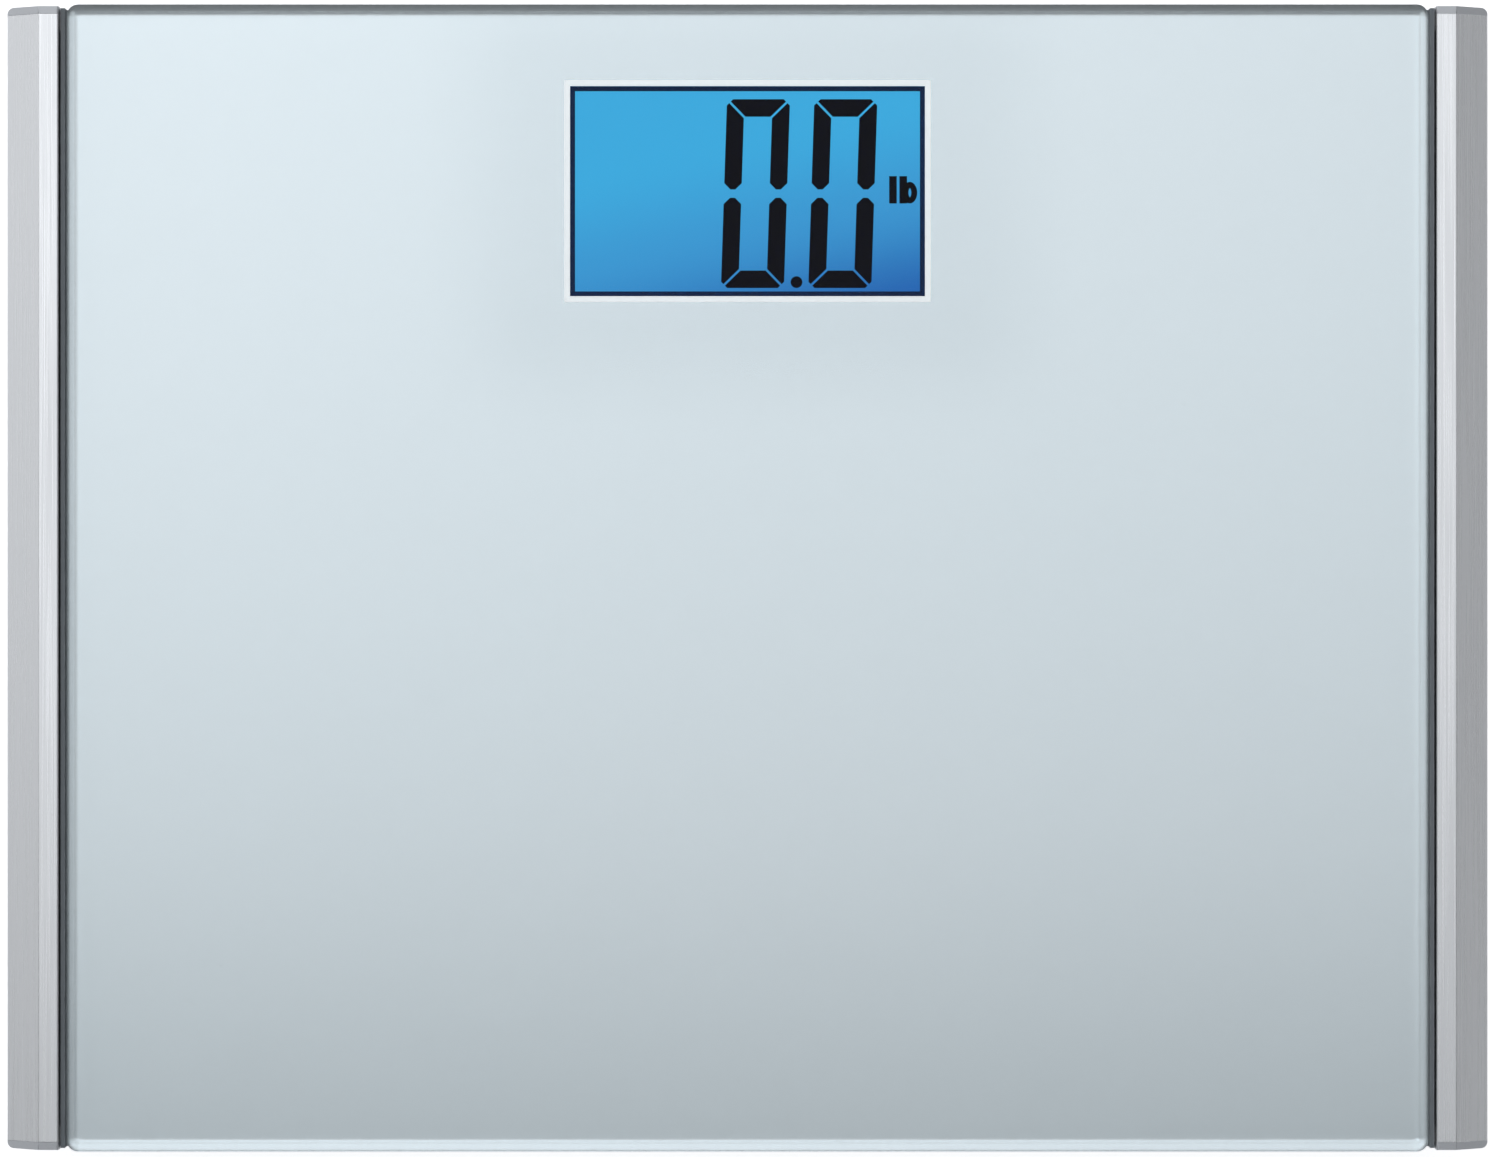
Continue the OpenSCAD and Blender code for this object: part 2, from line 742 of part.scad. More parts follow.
module light_guide() {
    color([0.75, 0.90, 1.0, 0.6])
        translate([3.2 - lcd_w / 2, window_y - lcd_d / 2, z_guide])
            cube([lcd_w - 3.2, lcd_d - 3.2, guide_t]);
}

module backlight_reflector() {
    color([0.97, 0.97, 0.97])
        translate([-lcd_w / 2, window_y - lcd_d / 2, z_reflector]) cube([lcd_w, lcd_d - 3.2, reflector_t]);
}

// Three blue side-firing lamps, on a strip along the left edge of the light guide
module backlight_leds() {
    lamp = [1.6, 3, 1.6];
    color([0.55, 0.75, 1.0]) {
        translate([-lcd_w / 2, window_y - lcd_d * 0.4, z_guide])
            cube([0.8, lcd_d * 0.8 - 3.2, guide_t - 0.4]);
        for (i = [-1 : 1])
            translate([0.8 - lcd_w / 2, window_y - 1.6 + i * lcd_d * 0.26 - lamp[1] / 2, z_guide + 0.6])
                cube(lamp);
    }
}

// Rubber strip that carries the contacts from the board to the LCD
module contact_strip() {
    color([0.85, 0.55, 0.62])
        translate([-lcd_w * 0.46, window_y + lcd_d / 2 - 2.8, z_reflector])
            cube([lcd_w * 0.92, 2.2, z_lcd - z_reflector]);
}

module circuit_board() {
    color([0.10, 0.38, 0.20])
        translate([0, board_y, z_board])
            difference() {
                linear_extrude(board_t) rounded_rect(board_w, board_d, 2);
                for (x = [-1, 1], y = [-1, 1])
                    translate([x * boss_x, y * boss_y, -e]) cylinder(r = board_hole_r, h = board_t + 1);
            }
}

module board_screws() {
    color([0.62, 0.63, 0.65])
        for (x = [-1, 1], y = [-1, 1])
            translate([x * boss_x, board_y + y * boss_y, z_board + board_t])
                mirror([0, 0, 1])
                    pan_screw(board_screw_head_r, 1.4, board_screw_r, board_t + board_room - 1);
}

// Components under the board: a crystal, two capacitors and two rows of resistors
module board_components() {
    color([0.75, 0.72, 0.55])
        translate([0, board_y, 0]) {
            translate([board_w * 0.08, board_d * 0.22, z_board - 2.6]) rounded_block(8, 3.2, 2.6);
            for (i = [0, 1])
                translate([board_w * 0.22 + i * 8, board_d * 0.2, z_board - 3.6])
                    cylinder(r = 2.5, h = 3.6);
            for (i = [0 : 5])
                translate([-board_w * 0.2 + i * 5, board_d * 0.3, z_board - 0.6]) cube([2, 1.25, 0.6]);
            for (i = [0 : 5])
                translate([-board_w * 0.2 + i * 5, board_d * 0.18, z_board - 0.6]) cube([2, 1.25, 0.6]);
        }
}

module rounded_block(w, d, h) {
    linear_extrude(h) rounded_rect(w, d, d / 2 - 0.1);
}

module processor_blob() {
    blob_r = 7;
    blob_h = 1.8;
    cap_r = (blob_r * blob_r + blob_h * blob_h) / (2 * blob_h);
    color([0.05, 0.05, 0.05])
        translate([board_w * 0.05, board_y - board_d * 0.08, 0])
            intersection() {
                translate([0, 0, z_board - blob_h + cap_r]) sphere(cap_r, $fn = 360);
                translate([0, 0, z_board - blob_h - 1]) cylinder(r = blob_r + 1, h = blob_h + 1);
            }
}

module cable_headers() {
    color([0.93, 0.92, 0.88])
        both_sides()
            translate([header_x - header_w / 2, header_y - header_d / 2, z_board - header_h])
                cube([header_w, header_d, header_h]);
}

// ---- Unit button ----

module switch_body() {
    color([0.30, 0.30, 0.31])
        difference() {
            translate([switch_x - switch_w / 2, switch_y - switch_w / 2, switch_z])
                cube([switch_w, switch_w, switch_h]);
            translate([switch_x, switch_y, switch_z - 1]) cylinder(r = plunger_r + close, h = 3);
        }
}

module switch_plunger() {
    color([0.75, 0.15, 0.12])
        translate([switch_x, switch_y, switch_z - plunger_proud])
            cylinder(r = plunger_r, h = plunger_proud + 1.2);
}

module unit_button() {
    flange_t = 0.7;
    color([0.45, 0.46, 0.48])
        translate([switch_x, switch_y, 0])
            difference() {
                union() {
                    translate([0, 0, z_floor + 0.2])
                        cylinder(r = button_r, h = switch_z - plunger_proud - z_floor - 0.2);
                    translate([0, 0, z_inside + 0.1]) cylinder(r = button_r + 1.5, h = flange_t);
                }
                // finger dish
                translate([0, 0, z_floor + 0.2 - 11.6]) sphere(12);
            }
}

// ---- Batteries ----

function cell_x(i) = (i - (cell_count - 1) / 2) * cell_pitch;

// Cell i, counted from 0 at the left. Its terminal points to the back on even cells.
module battery_cell(i) {
    nub_len = 1;
    flip = i % 2;
    color([0.20, 0.45, 0.32])
        translate([cell_x(i), bay_front + bay_len / 2, z_cells])
            mirror([0, flip, 0])
                translate([0, bay_len / 2 - contact_t - spring_gap, 0])
                    rotate([90, 0, 0]) {
                        cylinder(r = 1.9, h = nub_len + 0.1);
                        translate([0, 0, nub_len]) cylinder(r = cell_d / 2, h = cell_len - nub_len);
                    }
}

// One coil spring, widest at its plate
module coil_spring() {
    wire_r = 0.3;
    turns = 4;
    steps = 10;
    route = [for (i = [0 : turns * steps])
        let (u = i / (turns * steps), a = i * 360 / steps, r = 3.6 - 1.4 * u)
        [r * cos(a), r * sin(a), wire_r + u * (spring_len - 2 * wire_r)]];
    tube(route, wire_r, 6);
}

module battery_springs() {
    color([0.75, 0.75, 0.74])
        for (i = [0 : cell_count - 1])
            translate([cell_x(i), bay_front + bay_len / 2, z_cells])
                mirror([0, i % 2, 0])
                    translate([0, contact_t + spring_gap - bay_len / 2, 0]) rotate([-90, 0, 0])
                        coil_spring();
}

module battery_plates() {
    plate_w = cell_d - 1.6;
    color([0.78, 0.78, 0.76])
        for (i = [0 : cell_count - 1], y = [bay_front, bay_back - contact_t])
            translate([cell_x(i) - plate_w / 2, y, z_cells - plate_w / 2])
                cube([plate_w, contact_t, plate_w]);
}

module battery_door() {
    grip_w = 1;
    grip_step = 2.4;
    grip_half_len = 9;
    color([0.17, 0.18, 0.19])
        difference() {
            union() {
                box([-door_half_w, hinge_y, z_floor], [door_half_w, door_back, z_floor + door_t]);
                translate([-door_half_w, hinge_y, hinge_z]) rotate([0, 90, 0])
                    cylinder(r = door_hinge_r, h = 2 * door_half_w);
                translate([-door_half_w - hinge_pin_len, hinge_y, hinge_z])
                    rotate([0, 90, 0]) cylinder(r = hinge_pin_r, h = 2 * (door_half_w + hinge_pin_len));
                // latch, with a snap ridge that ends just short of the tray's edge
                box([-latch_half_w, latch_y, z_floor + 1],
                    [latch_half_w, latch_y + latch_t, z_floor + door_t + latch_h]);
                box([-latch_half_w, latch_y, z_inside + 0.3],
                    [latch_half_w, door_back + latch_ridge, z_inside + 1.3]);
            }
            // grip grooves
            for (k = [0 : 4])
                translate([-grip_half_len, door_back - 8 - k * grip_step, z_floor - e])
                    cube([2 * grip_half_len, grip_w, 0.5 + e]);
        }
}

// ---- Wires ----

cable_r = 1;
lead_r = 0.7;
lead_x = bay_half_w - 3;
cable_z = z_inside + cable_r + 0.5;
gauge_y = clip_d / 2 + cable_r + 1; // a cable's distance from the foot's centre line, clear of the clips
gauge_z = z_load_cell + load_cell_t + foot_travel + cable_r + 0.4;
cable_end_z = z_board - header_h + cable_r;

// The cables of the two right-hand load cells, from the cell to the header under the board
function cable_routes() =
    let (xg = foot_x - tongue_w / 2 + 0.4, xf = foot_x - load_cell_w / 2, xh = header_x,
        yh = header_y - header_d / 2 - 0.1, xm = board_w / 2 + 12,
        yf = gauge_y - foot_y, yb = foot_y - gauge_y)
    [
        [[xg, yf, gauge_z], [xf - 3, yf, gauge_z], [xf - 6, yf, gauge_z - 1], [xf - 9, yf, cable_z],
            [xf - 20, yf, cable_z],
            [xm + 6, yf, cable_z], [xm + 2, yf + 2, cable_z], [xm, yf + 6, cable_z], [xm, 0, cable_z],
            [xm, yh - 24, cable_z], [xm - 2, yh - 20, cable_z],
            [xm - 6, yh - 18, cable_z], [xh + 3, yh - 18, cable_z], [xh, yh - 16, cable_z],
            [xh - 2, yh - 12, cable_z], [xh - 2, yh - 8, cable_z], [xh - 2, yh - 4, cable_end_z],
            [xh - 2, yh, cable_end_z]],
        [[xg, yb, gauge_z], [xf - 3, yb, gauge_z], [xf - 6, yb, gauge_z - 1], [xf - 9, yb, cable_z],
            [xm + 10, yb, cable_z], [xm + 6, yb - 2, cable_z], [xm + 4, yb - 6, cable_z],
            [xm + 4, yh - 10, cable_z], [xm + 2, yh - 12, cable_z],
            [xm - 2, yh - 14, cable_z], [xh + 6, yh - 14, cable_z], [xh + 3, yh - 12, cable_z],
            [xh + 2, yh - 9, cable_z], [xh + 2, yh - 4, cable_end_z], [xh + 2, yh, cable_end_z]]
    ];

module cell_cables() {
    color([0.15, 0.15, 0.16])
        both_sides()
            for (route = cable_routes()) tube(route, cable_r);
}

// Lead from the battery bay's back plates to the board, on the right-hand side
module battery_lead() {
    z = bay_top - 1.5;
    y = bay_back + bay_wall;
    tube([[lead_x, bay_back + 0.1, z], [lead_x, y + 1, z], [lead_x + 0.4, y + 3, z],
        [lead_x + 1.6, y + 5, z - 0.4], [lead_x + 2, y + 7, z_board + board_t + lead_r + 0.2],
        [lead_x + 2, board_y - board_d / 2 + 1.6, z_board + board_t + lead_r + 0.1]], lead_r);
}

module battery_lead_red() {
    color([0.75, 0.10, 0.08]) battery_lead();
}

module battery_lead_black() {
    color([0.06, 0.06, 0.06]) mirror([1, 0, 0]) battery_lead();
}

// ---- One line for each node ----

glass_platform();
silver_backing();
platform_tape();
base_tray();
rating_label();
left_rail();
right_rail();
end_cap_screws();
lcd_panel();
lcd_polariser();
lcd_bezel();
backlight_diffuser();
light_guide();
backlight_reflector();
backlight_leds();
contact_strip();
circuit_board();
board_components();
processor_blob();
cable_headers();
board_screws();
switch_body();
switch_plunger();
unit_button();
battery_door();
battery_springs();
battery_plates();
battery_lead_red();
battery_lead_black();
cell_clips();
clip_screws();
cell_cables();
for (i = [0 : cell_count - 1])
    battery_cell(i);
for (i = [0 : 3]) {
    end_cap_at(i);
    at_corner(i) load_cell_frame();
    at_corner(i) load_cell_tongue();
    at_corner(i) strain_gauge();
    at_corner(i) foot();
    at_corner(i) foot_pad();
}
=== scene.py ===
# %% [markdown]
# # A step-on weighing scale
# The real scale is a sheet of bevelled glass with silver paint behind it. It lies between two
# aluminium rails, on a grey tray with four load cells. Its frame comes from the CAD model and is never
# changed, so this script only adds what the eye sees: soft edges, the readout, surfaces and light.

import json
import math

import bmesh
import bpy
from mathutils import Matrix, Vector


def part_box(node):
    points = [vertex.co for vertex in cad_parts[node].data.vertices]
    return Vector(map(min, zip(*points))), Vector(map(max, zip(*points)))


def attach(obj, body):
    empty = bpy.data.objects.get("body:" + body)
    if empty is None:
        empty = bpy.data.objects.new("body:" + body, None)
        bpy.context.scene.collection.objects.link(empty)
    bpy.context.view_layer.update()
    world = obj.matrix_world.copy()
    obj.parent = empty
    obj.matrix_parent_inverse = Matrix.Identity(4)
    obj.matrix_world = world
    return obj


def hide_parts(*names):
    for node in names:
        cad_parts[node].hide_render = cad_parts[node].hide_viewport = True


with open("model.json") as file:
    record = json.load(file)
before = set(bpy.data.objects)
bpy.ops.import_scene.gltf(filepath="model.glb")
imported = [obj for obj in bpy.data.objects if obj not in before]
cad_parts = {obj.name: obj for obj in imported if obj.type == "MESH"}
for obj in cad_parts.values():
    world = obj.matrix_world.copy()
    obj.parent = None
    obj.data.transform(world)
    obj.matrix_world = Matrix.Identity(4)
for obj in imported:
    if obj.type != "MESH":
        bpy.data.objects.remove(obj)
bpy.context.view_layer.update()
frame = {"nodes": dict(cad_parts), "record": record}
MM = 0.001  # all lengths are in metres, and real sizes are easier to read in millimetres
for plain in bpy.data.materials:
    plain.name = "plain_" + plain.name

# %% [markdown]
# ## Measures from the frame
# Every place below is worked out from the CAD nodes, so the new pieces stay lined up with them. The
# names say which real piece a measure belongs to.

# %% Read the measures
glass_low, glass_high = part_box("glass_platform")
film_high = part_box("silver_backing")[1]
face_low, face_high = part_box("lcd_polariser")
WINDOW_SIZE = Vector((93.4, 55.3)) * MM
window_centre = (face_low + face_high) / 2
print("glass", [round(side / MM, 1) for side in glass_high - glass_low], "mm")

# %% [markdown]
# ## Camera
# The scale is seen from straight above through a long lens, so its sides stay upright and the glass
# and the rails show with almost no perspective.

# %% Place the camera
LENS_MM = 150
SENSOR_MM = 36
VIEW_WIDTH = 0.3936
CENTRE_SHIFT = Vector((0.66, -0.13)) * MM

camera_data = bpy.data.cameras.new("camera")
camera = bpy.data.objects.new("camera", camera_data)
bpy.context.scene.collection.objects.link(camera)
camera_data.lens = LENS_MM
camera_data.sensor_width = SENSOR_MM
camera_data.clip_end = 20
camera.location = (CENTRE_SHIFT.x, CENTRE_SHIFT.y, glass_high.z + VIEW_WIDTH * LENS_MM / SENSOR_MM)
bpy.context.scene.camera = camera
print("camera height", round(camera.location.z, 3), "m")

# %% [markdown]
# ## Helpers for edit mode
# The pieces are modelled as by hand: add a primitive, enter edit mode, pick what to shape by its
# place, use an operator, and leave. These helpers keep each of those moves to one line.

# %% Edit mode helpers
SAME_PLACE = 0.02 * MM


def only(piece):
    """Makes piece the one selected and active object."""
    bpy.ops.object.select_all(action="DESELECT")
    piece.select_set(True)
    bpy.context.view_layer.objects.active = piece


def enter(piece):
    """Opens piece in edit mode."""
    only(piece)
    bpy.ops.object.mode_set(mode="EDIT")


def leave():
    """Goes back to object mode."""
    bpy.ops.object.mode_set(mode="OBJECT")


def pick(piece, kind, test):
    """Selects the VERT, EDGE or FACE elements of piece that pass test, and no others."""
    bpy.ops.mesh.select_mode(type=kind)
    bpy.ops.mesh.select_all(action="DESELECT")
    mesh = bmesh.from_edit_mesh(piece.data)
    for element in {"VERT": mesh.verts, "EDGE": mesh.edges, "FACE": mesh.faces}[kind]:
        if test(element):
            element.select_set(True)
    mesh.select_flush_mode()
    bmesh.update_edit_mesh(piece.data)


def near(value, target):
    """True where two lengths are the same, but for rounding."""
    return abs(value - target) < SAME_PLACE


print("places closer than", round(SAME_PLACE / MM, 2), "mm count as the same")

# %% [markdown]
# ## Helpers for shapes
# Every new piece begins as a block or a sheet of its real size. Modifiers are applied at once, so
# that what is handed on is a plain mesh.

# %% Shape helpers


def add_block(name, low, high):
    """Adds a block between two corners."""
    bpy.ops.object.select_all(action="DESELECT")
    bpy.ops.mesh.primitive_cube_add(size=1, location=(Vector(low) + Vector(high)) / 2)
    piece = bpy.context.object
    piece.name = name
    piece.scale = Vector(high) - Vector(low)
    bpy.ops.object.transform_apply(location=True, rotation=True, scale=True)
    return piece


def add_sheet(name, centre, width, depth):
    """Adds a flat rectangle that faces up."""
    bpy.ops.object.select_all(action="DESELECT")
    bpy.ops.mesh.primitive_plane_add(size=1, location=centre)
    piece = bpy.context.object
    piece.name = name
    piece.scale = (width, depth, 1)
    bpy.ops.object.transform_apply(location=True, rotation=True, scale=True)
    return piece


def apply_modifier(piece, kind, **settings):
    """Adds a modifier, sets it and applies it."""
    only(piece)
    modifier = piece.modifiers.new(kind.lower(), kind)
    for name, value in settings.items():
        setattr(modifier, name, value)
    bpy.ops.object.modifier_apply(modifier=modifier.name)


def thicken(piece, thickness):
    """Gives a sheet a thickness, upwards."""
    apply_modifier(piece, "SOLIDIFY", thickness=thickness, offset=1)


def smooth(piece, degrees=32):
    """Shades gentle bends smoothly and keeps sharp ones crisp. Large faces keep their own true
    direction, so a flat sheet stays optically flat and only its eased rim bends the light."""
    only(piece)
    bpy.ops.object.shade_smooth_by_angle(angle=math.radians(degrees))
    apply_modifier(piece, "WEIGHTED_NORMAL", mode="FACE_AREA", weight=100, keep_sharp=True)


def join(pieces, name):
    """Joins pieces into one object."""
    only(pieces[0])
    for piece in pieces:
        piece.select_set(True)
    bpy.ops.object.join()
    piece = bpy.context.object
    piece.name = name
    return piece


print("shapes start from", len(bpy.data.meshes), "meshes")

# %% [markdown]
# ## Colours
# Colours are written here as they look on a screen, from 0 to 255, but a shader works with amounts
# of light. One helper turns the first into the second.

# %% Colour helper
def srgb(red, green, blue):
    """A colour given as 0 to 255 on a screen, as the linear colour that shaders use."""
    def linear(value):
        value /= 255
        return value / 12.92 if value <= 0.04045 else ((value + 0.055) / 1.055) ** 2.4
    return (linear(red), linear(green), linear(blue), 1)


print("a mid grey in linear light is", round(srgb(128, 128, 128)[0], 3))

# %% [markdown]
# ## Helpers for nodes
# A material is a small graph of nodes around one Principled shader. Patterns read Object
# coordinates, in metres, so a grain of half a millimetre is half a millimetre on every piece.

# %% Node helpers
class Graph:
    """A node graph with short calls for adding nodes and joining them."""

    def __init__(self, tree):
        self.tree = tree

    def add(self, kind, settings=None, **inputs):
        """Adds a node. inputs name its sockets, with _ for a space, and hold values or outputs."""
        node = self.tree.nodes.new(kind)
        for name, value in (settings or {}).items():
            setattr(node, name, value)
        for name, value in inputs.items():
            self.feed(node, name.replace("_", " "), value)
        return node

    def feed(self, node, name, value):
        """Sets the socket of that name or number, or links an output to it."""
        socket = node.inputs[name]
        if isinstance(value, bpy.types.NodeSocket):
            self.tree.links.new(value, socket)
        else:
            socket.default_value = value

    def math(self, operation, first, second=0.0, clamp=False):
        """Adds a Math node and returns its output."""
        node = self.add("ShaderNodeMath", {"operation": operation, "use_clamp": clamp})
        self.feed(node, 0, first)
        self.feed(node, 1, second)
        return node.outputs[0]

    def times(self, *values):
        """Multiplies values, one after the other."""
        product = values[0]
        for value in values[1:]:
            product = self.math("MULTIPLY", product, value)
        return product

    def mix(self, factor, first, second):
        """Mixes two colours and returns the result."""
        node = self.add("ShaderNodeMix", {"data_type": "RGBA"})
        # a Mix node keeps sockets for every data type, and the colour ones are 6 and 7
        for socket, value in ((0, factor), (6, first), (7, second)):
            self.feed(node, socket, value)
        return node.outputs[2]

    def tint(self, colour, shade):
        """Makes a colour lighter or darker by a factor."""
        node = self.add("ShaderNodeVectorMath", {"operation": "SCALE"}, Scale=shade)
        self.feed(node, 0, colour)
        return node.outputs[0]

    def choose(self, test, when_no, when_yes):
        """Uses one shader where a test is 0 and another where it is 1."""
        node = self.add("ShaderNodeMixShader")
        for socket, value in enumerate((test, when_no, when_yes)):
            self.feed(node, socket, value)
        return node.outputs[0]

    def ramp(self, value, low, high, to_low=0.0, to_high=1.0):
        """Maps a value from one range to another, smoothly, and stays inside it."""
        node = self.add("ShaderNodeMapRange", {"interpolation_type": "SMOOTHSTEP"}, Value=value)
        ends = {"From Min": low, "From Max": high, "To Min": to_low, "To Max": to_high}
        for name, number in ends.items():
            self.feed(node, name, number)
        return node.outputs[0]


def object_place(graph):
    """Object coordinates, in metres."""
    return graph.add("ShaderNodeTexCoord").outputs["Object"]


print("a graph can", *(name for name in vars(Graph) if not name.startswith("_")))

# %% [markdown]
# ## Shared effects
# Three effects turn up on many materials. Each is made once, as a group of nodes with inputs of its
# own, so a change to the group shows wherever it is used. A texture's values crowd round 0.5, so a
# pattern is centred on 0 and then spread before it moves a colour or a roughness.

# %% Start a group
FLOAT, COLOUR = "NodeSocketFloat", "NodeSocketColor"
MID_GREY = (0.5, 0.5, 0.5, 1)
SPREAD = 4


def new_group(name, inputs, outputs):
    """Starts a group with named sockets. Returns its graph, its inputs and its result node."""
    tree = bpy.data.node_groups.new(name, "ShaderNodeTree")
    for socket, (kind, value) in inputs.items():
        made = tree.interface.new_socket(socket, in_out="INPUT", socket_type=kind)
        made.default_value = value
    for socket, kind in outputs.items():
        tree.interface.new_socket(socket, in_out="OUTPUT", socket_type=kind)
    return Graph(tree), tree.nodes.new("NodeGroupInput").outputs, tree.nodes.new("NodeGroupOutput")


def vary(graph, given, result, pattern, height):
    """Sends out a colour and a roughness that a pattern has moved, and a height for the bump."""
    centred = graph.math("SUBTRACT", pattern, 0.5)
    shade = graph.math("ADD", 1, graph.times(centred, given["Colour Shift"], SPREAD))
    swing = graph.times(centred, given["Roughness Shift"], SPREAD)
    graph.feed(result, "Colour", graph.tint(given["Colour"], shade))
    graph.feed(result, "Roughness", graph.math("ADD", given["Roughness"], swing, clamp=True))
    graph.feed(result, "Height", height)


print("a group starts from grey", MID_GREY[0])

# %% [markdown]
# ## Grain
# The steel of a mould is etched with sparks, and paint dries in fine specks. Both are an even texture
# with broad, soft patches in it, so two sizes of noise are added, and the fine one is the height.

# %% Grain group
def build_grain():
    """A fine, even texture, sized by Size mm."""
    graph, given, result = new_group(
        "grain",
        {"Colour": (COLOUR, MID_GREY), "Size mm": (FLOAT, 0.5), "Colour Shift": (FLOAT, 0.1),
         "Roughness": (FLOAT, 0.5), "Roughness Shift": (FLOAT, 0.1)},
        {"Colour": COLOUR, "Roughness": FLOAT, "Height": FLOAT})
    place = object_place(graph)
    scale = graph.math("DIVIDE", 1 / MM, given["Size mm"])
    fine = graph.add("ShaderNodeTexNoise", Vector=place, Scale=scale, Detail=3,
                     Roughness=0.55).outputs["Fac"]
    broad_scale = graph.math("DIVIDE", scale, 22)
    broad = graph.add("ShaderNodeTexNoise", Vector=place, Scale=broad_scale, Detail=4).outputs["Fac"]
    mottle = graph.math("ADD", graph.times(fine, 0.6), graph.times(broad, 0.4))
    vary(graph, given, result, mottle, fine)
    return graph.tree


GRAIN = build_grain()
print("made", GRAIN.name)

# %% [markdown]
# ## Lines
# A die or a brush drags streaks along the metal, long one way and fine the other. Noise does this
# when the place it is read at is squeezed along the streaks, so they run along Y.

# %% Lines group
def build_lines():
    """Streaks along Y, sized by Width mm and drawn out by Stretch."""
    graph, given, result = new_group(
        "lines",
        {"Colour": (COLOUR, MID_GREY), "Width mm": (FLOAT, 0.15), "Stretch": (FLOAT, 150.0),
         "Colour Shift": (FLOAT, 0.1), "Roughness": (FLOAT, 0.3), "Roughness Shift": (FLOAT, 0.1)},
        {"Colour": COLOUR, "Roughness": FLOAT, "Height": FLOAT})
    part = graph.add("ShaderNodeSeparateXYZ", Vector=object_place(graph)).outputs
    squeezed = graph.math("DIVIDE", part["Y"], given["Stretch"])
    point = graph.add("ShaderNodeCombineXYZ", X=part["X"], Y=squeezed, Z=part["Z"]).outputs[0]
    scale = graph.math("DIVIDE", 1 / MM, given["Width mm"])
    streak = graph.add("ShaderNodeTexNoise", Vector=point, Scale=scale, Detail=4,
                       Roughness=0.6).outputs["Fac"]
    vary(graph, given, result, streak, streak)
    return graph.tree


LINES = build_lines()
print("made", LINES.name)

# %% [markdown]
# ## Handling
# Use rubs the edges and leaves a little dust. The Bevel node bends the normal near an edge, so where
# the bent normal and the true one differ, there is an edge. Noise breaks the rubbing and the dust up,
# or they would look drawn on.

# %% Handling group
def build_handling():
    """Rubbed edges and settled dust, over a colour."""
    graph, given, result = new_group(
        "handling",
        {"Colour": (COLOUR, MID_GREY), "Worn Colour": (COLOUR, (0.8, 0.8, 0.8, 1)),
         "Wear": (FLOAT, 0.5), "Edge mm": (FLOAT, 0.4), "Dust Colour": (COLOUR, srgb(190, 184, 174)),
         "Dust": (FLOAT, 0.05)},
        {"Colour": COLOUR})
    place = object_place(graph)
    true_normal = graph.add("ShaderNodeNewGeometry").outputs["Normal"]
    radius = graph.math("MULTIPLY", given["Edge mm"], MM)
    bent_normal = graph.add("ShaderNodeBevel", {"samples": 4}, Radius=radius).outputs[0]
    same = graph.add("ShaderNodeVectorMath", {"operation": "DOT_PRODUCT"})
    graph.feed(same, 0, true_normal)
    graph.feed(same, 1, bent_normal)
    edge = graph.math("SUBTRACT", 1, same.outputs["Value"])
    patchy = graph.add("ShaderNodeTexNoise", Vector=place, Scale=260, Detail=4).outputs["Fac"]
    rubbed = graph.times(edge, given["Wear"], graph.ramp(patchy, 0.35, 0.7, 0, 8))
    colour = graph.mix(graph.math("MINIMUM", rubbed, 1), given["Colour"], given["Worn Colour"])
    specks = graph.add("ShaderNodeTexNoise", Vector=place, Scale=900, Detail=2).outputs["Fac"]
    cloud = graph.add("ShaderNodeTexNoise", Vector=place, Scale=14, Detail=5).outputs["Fac"]
    dusty = graph.times(graph.ramp(specks, 0.5, 0.75), graph.ramp(cloud, 0.35, 0.75), given["Dust"])
    graph.feed(result, "Colour", graph.mix(dusty, colour, given["Dust Colour"]))
    return graph.tree


HANDLING = build_handling()
print("made", HANDLING.name)

# %% [markdown]
# ## Starting a material
# Each finish below begins the same way: an empty graph with a Principled shader joined to the output.
# `place_group` puts one of the shared effects in a material with the values of that finish. No real
# edge is perfectly sharp, so `soft_bump` also rounds the way light bends at every edge.

# %% Starting a material
def new_material(name, **shader_values):
    """A material with a Principled shader, and the values that are the same all over it."""
    material = bpy.data.materials.new(name)
    material.use_nodes = True
    material.node_tree.nodes.clear()
    graph = Graph(material.node_tree)
    shader = graph.add("ShaderNodeBsdfPrincipled", **shader_values)
    output = graph.add("ShaderNodeOutputMaterial", Surface=shader.outputs[0])
    return material, graph, shader, output


def place_group(graph, tree, **inputs):
    """Adds a shared effect to a graph and returns its outputs."""
    return graph.add("ShaderNodeGroup", {"node_tree": tree}, **inputs).outputs


def use_texture(graph, shader, texture):
    """Gives a shader the colour and the roughness of a texture."""
    graph.feed(shader, "Base Color", texture["Colour"])
    graph.feed(shader, "Roughness", texture["Roughness"])


def soft_bump(graph, shader, height, depth_mm, edge_mm=0.25):
    """Bumps a surface by a height, on a normal that the Bevel node has rounded at the edges."""
    rounded = graph.add("ShaderNodeBevel", {"samples": 4}, Radius=edge_mm * MM).outputs[0]
    bump = graph.add("ShaderNodeBump", Strength=1, Distance=depth_mm * MM, Height=height, Normal=rounded)
    graph.feed(shader, "Normal", bump.outputs[0])


def slight_bump(graph, shader, height, strength, depth_mm):
    """Bumps a flat film very slightly."""
    bump = graph.add("ShaderNodeBump", Strength=strength, Distance=depth_mm * MM, Height=height)
    graph.feed(shader, "Normal", bump.outputs[0])


print("materials start from", len(bpy.data.node_groups), "groups")

# %% [markdown]
# ## Plastics and rubbers
# Mould makers etch the steel with sparks, which leaves an even, pebbly grain. Big covers get a coarse
# one and small parts a fine one. Rubbing polishes the tops of the grain at the edges and makes them
# lighter, so the worn colour is a paler version of the plastic's own.

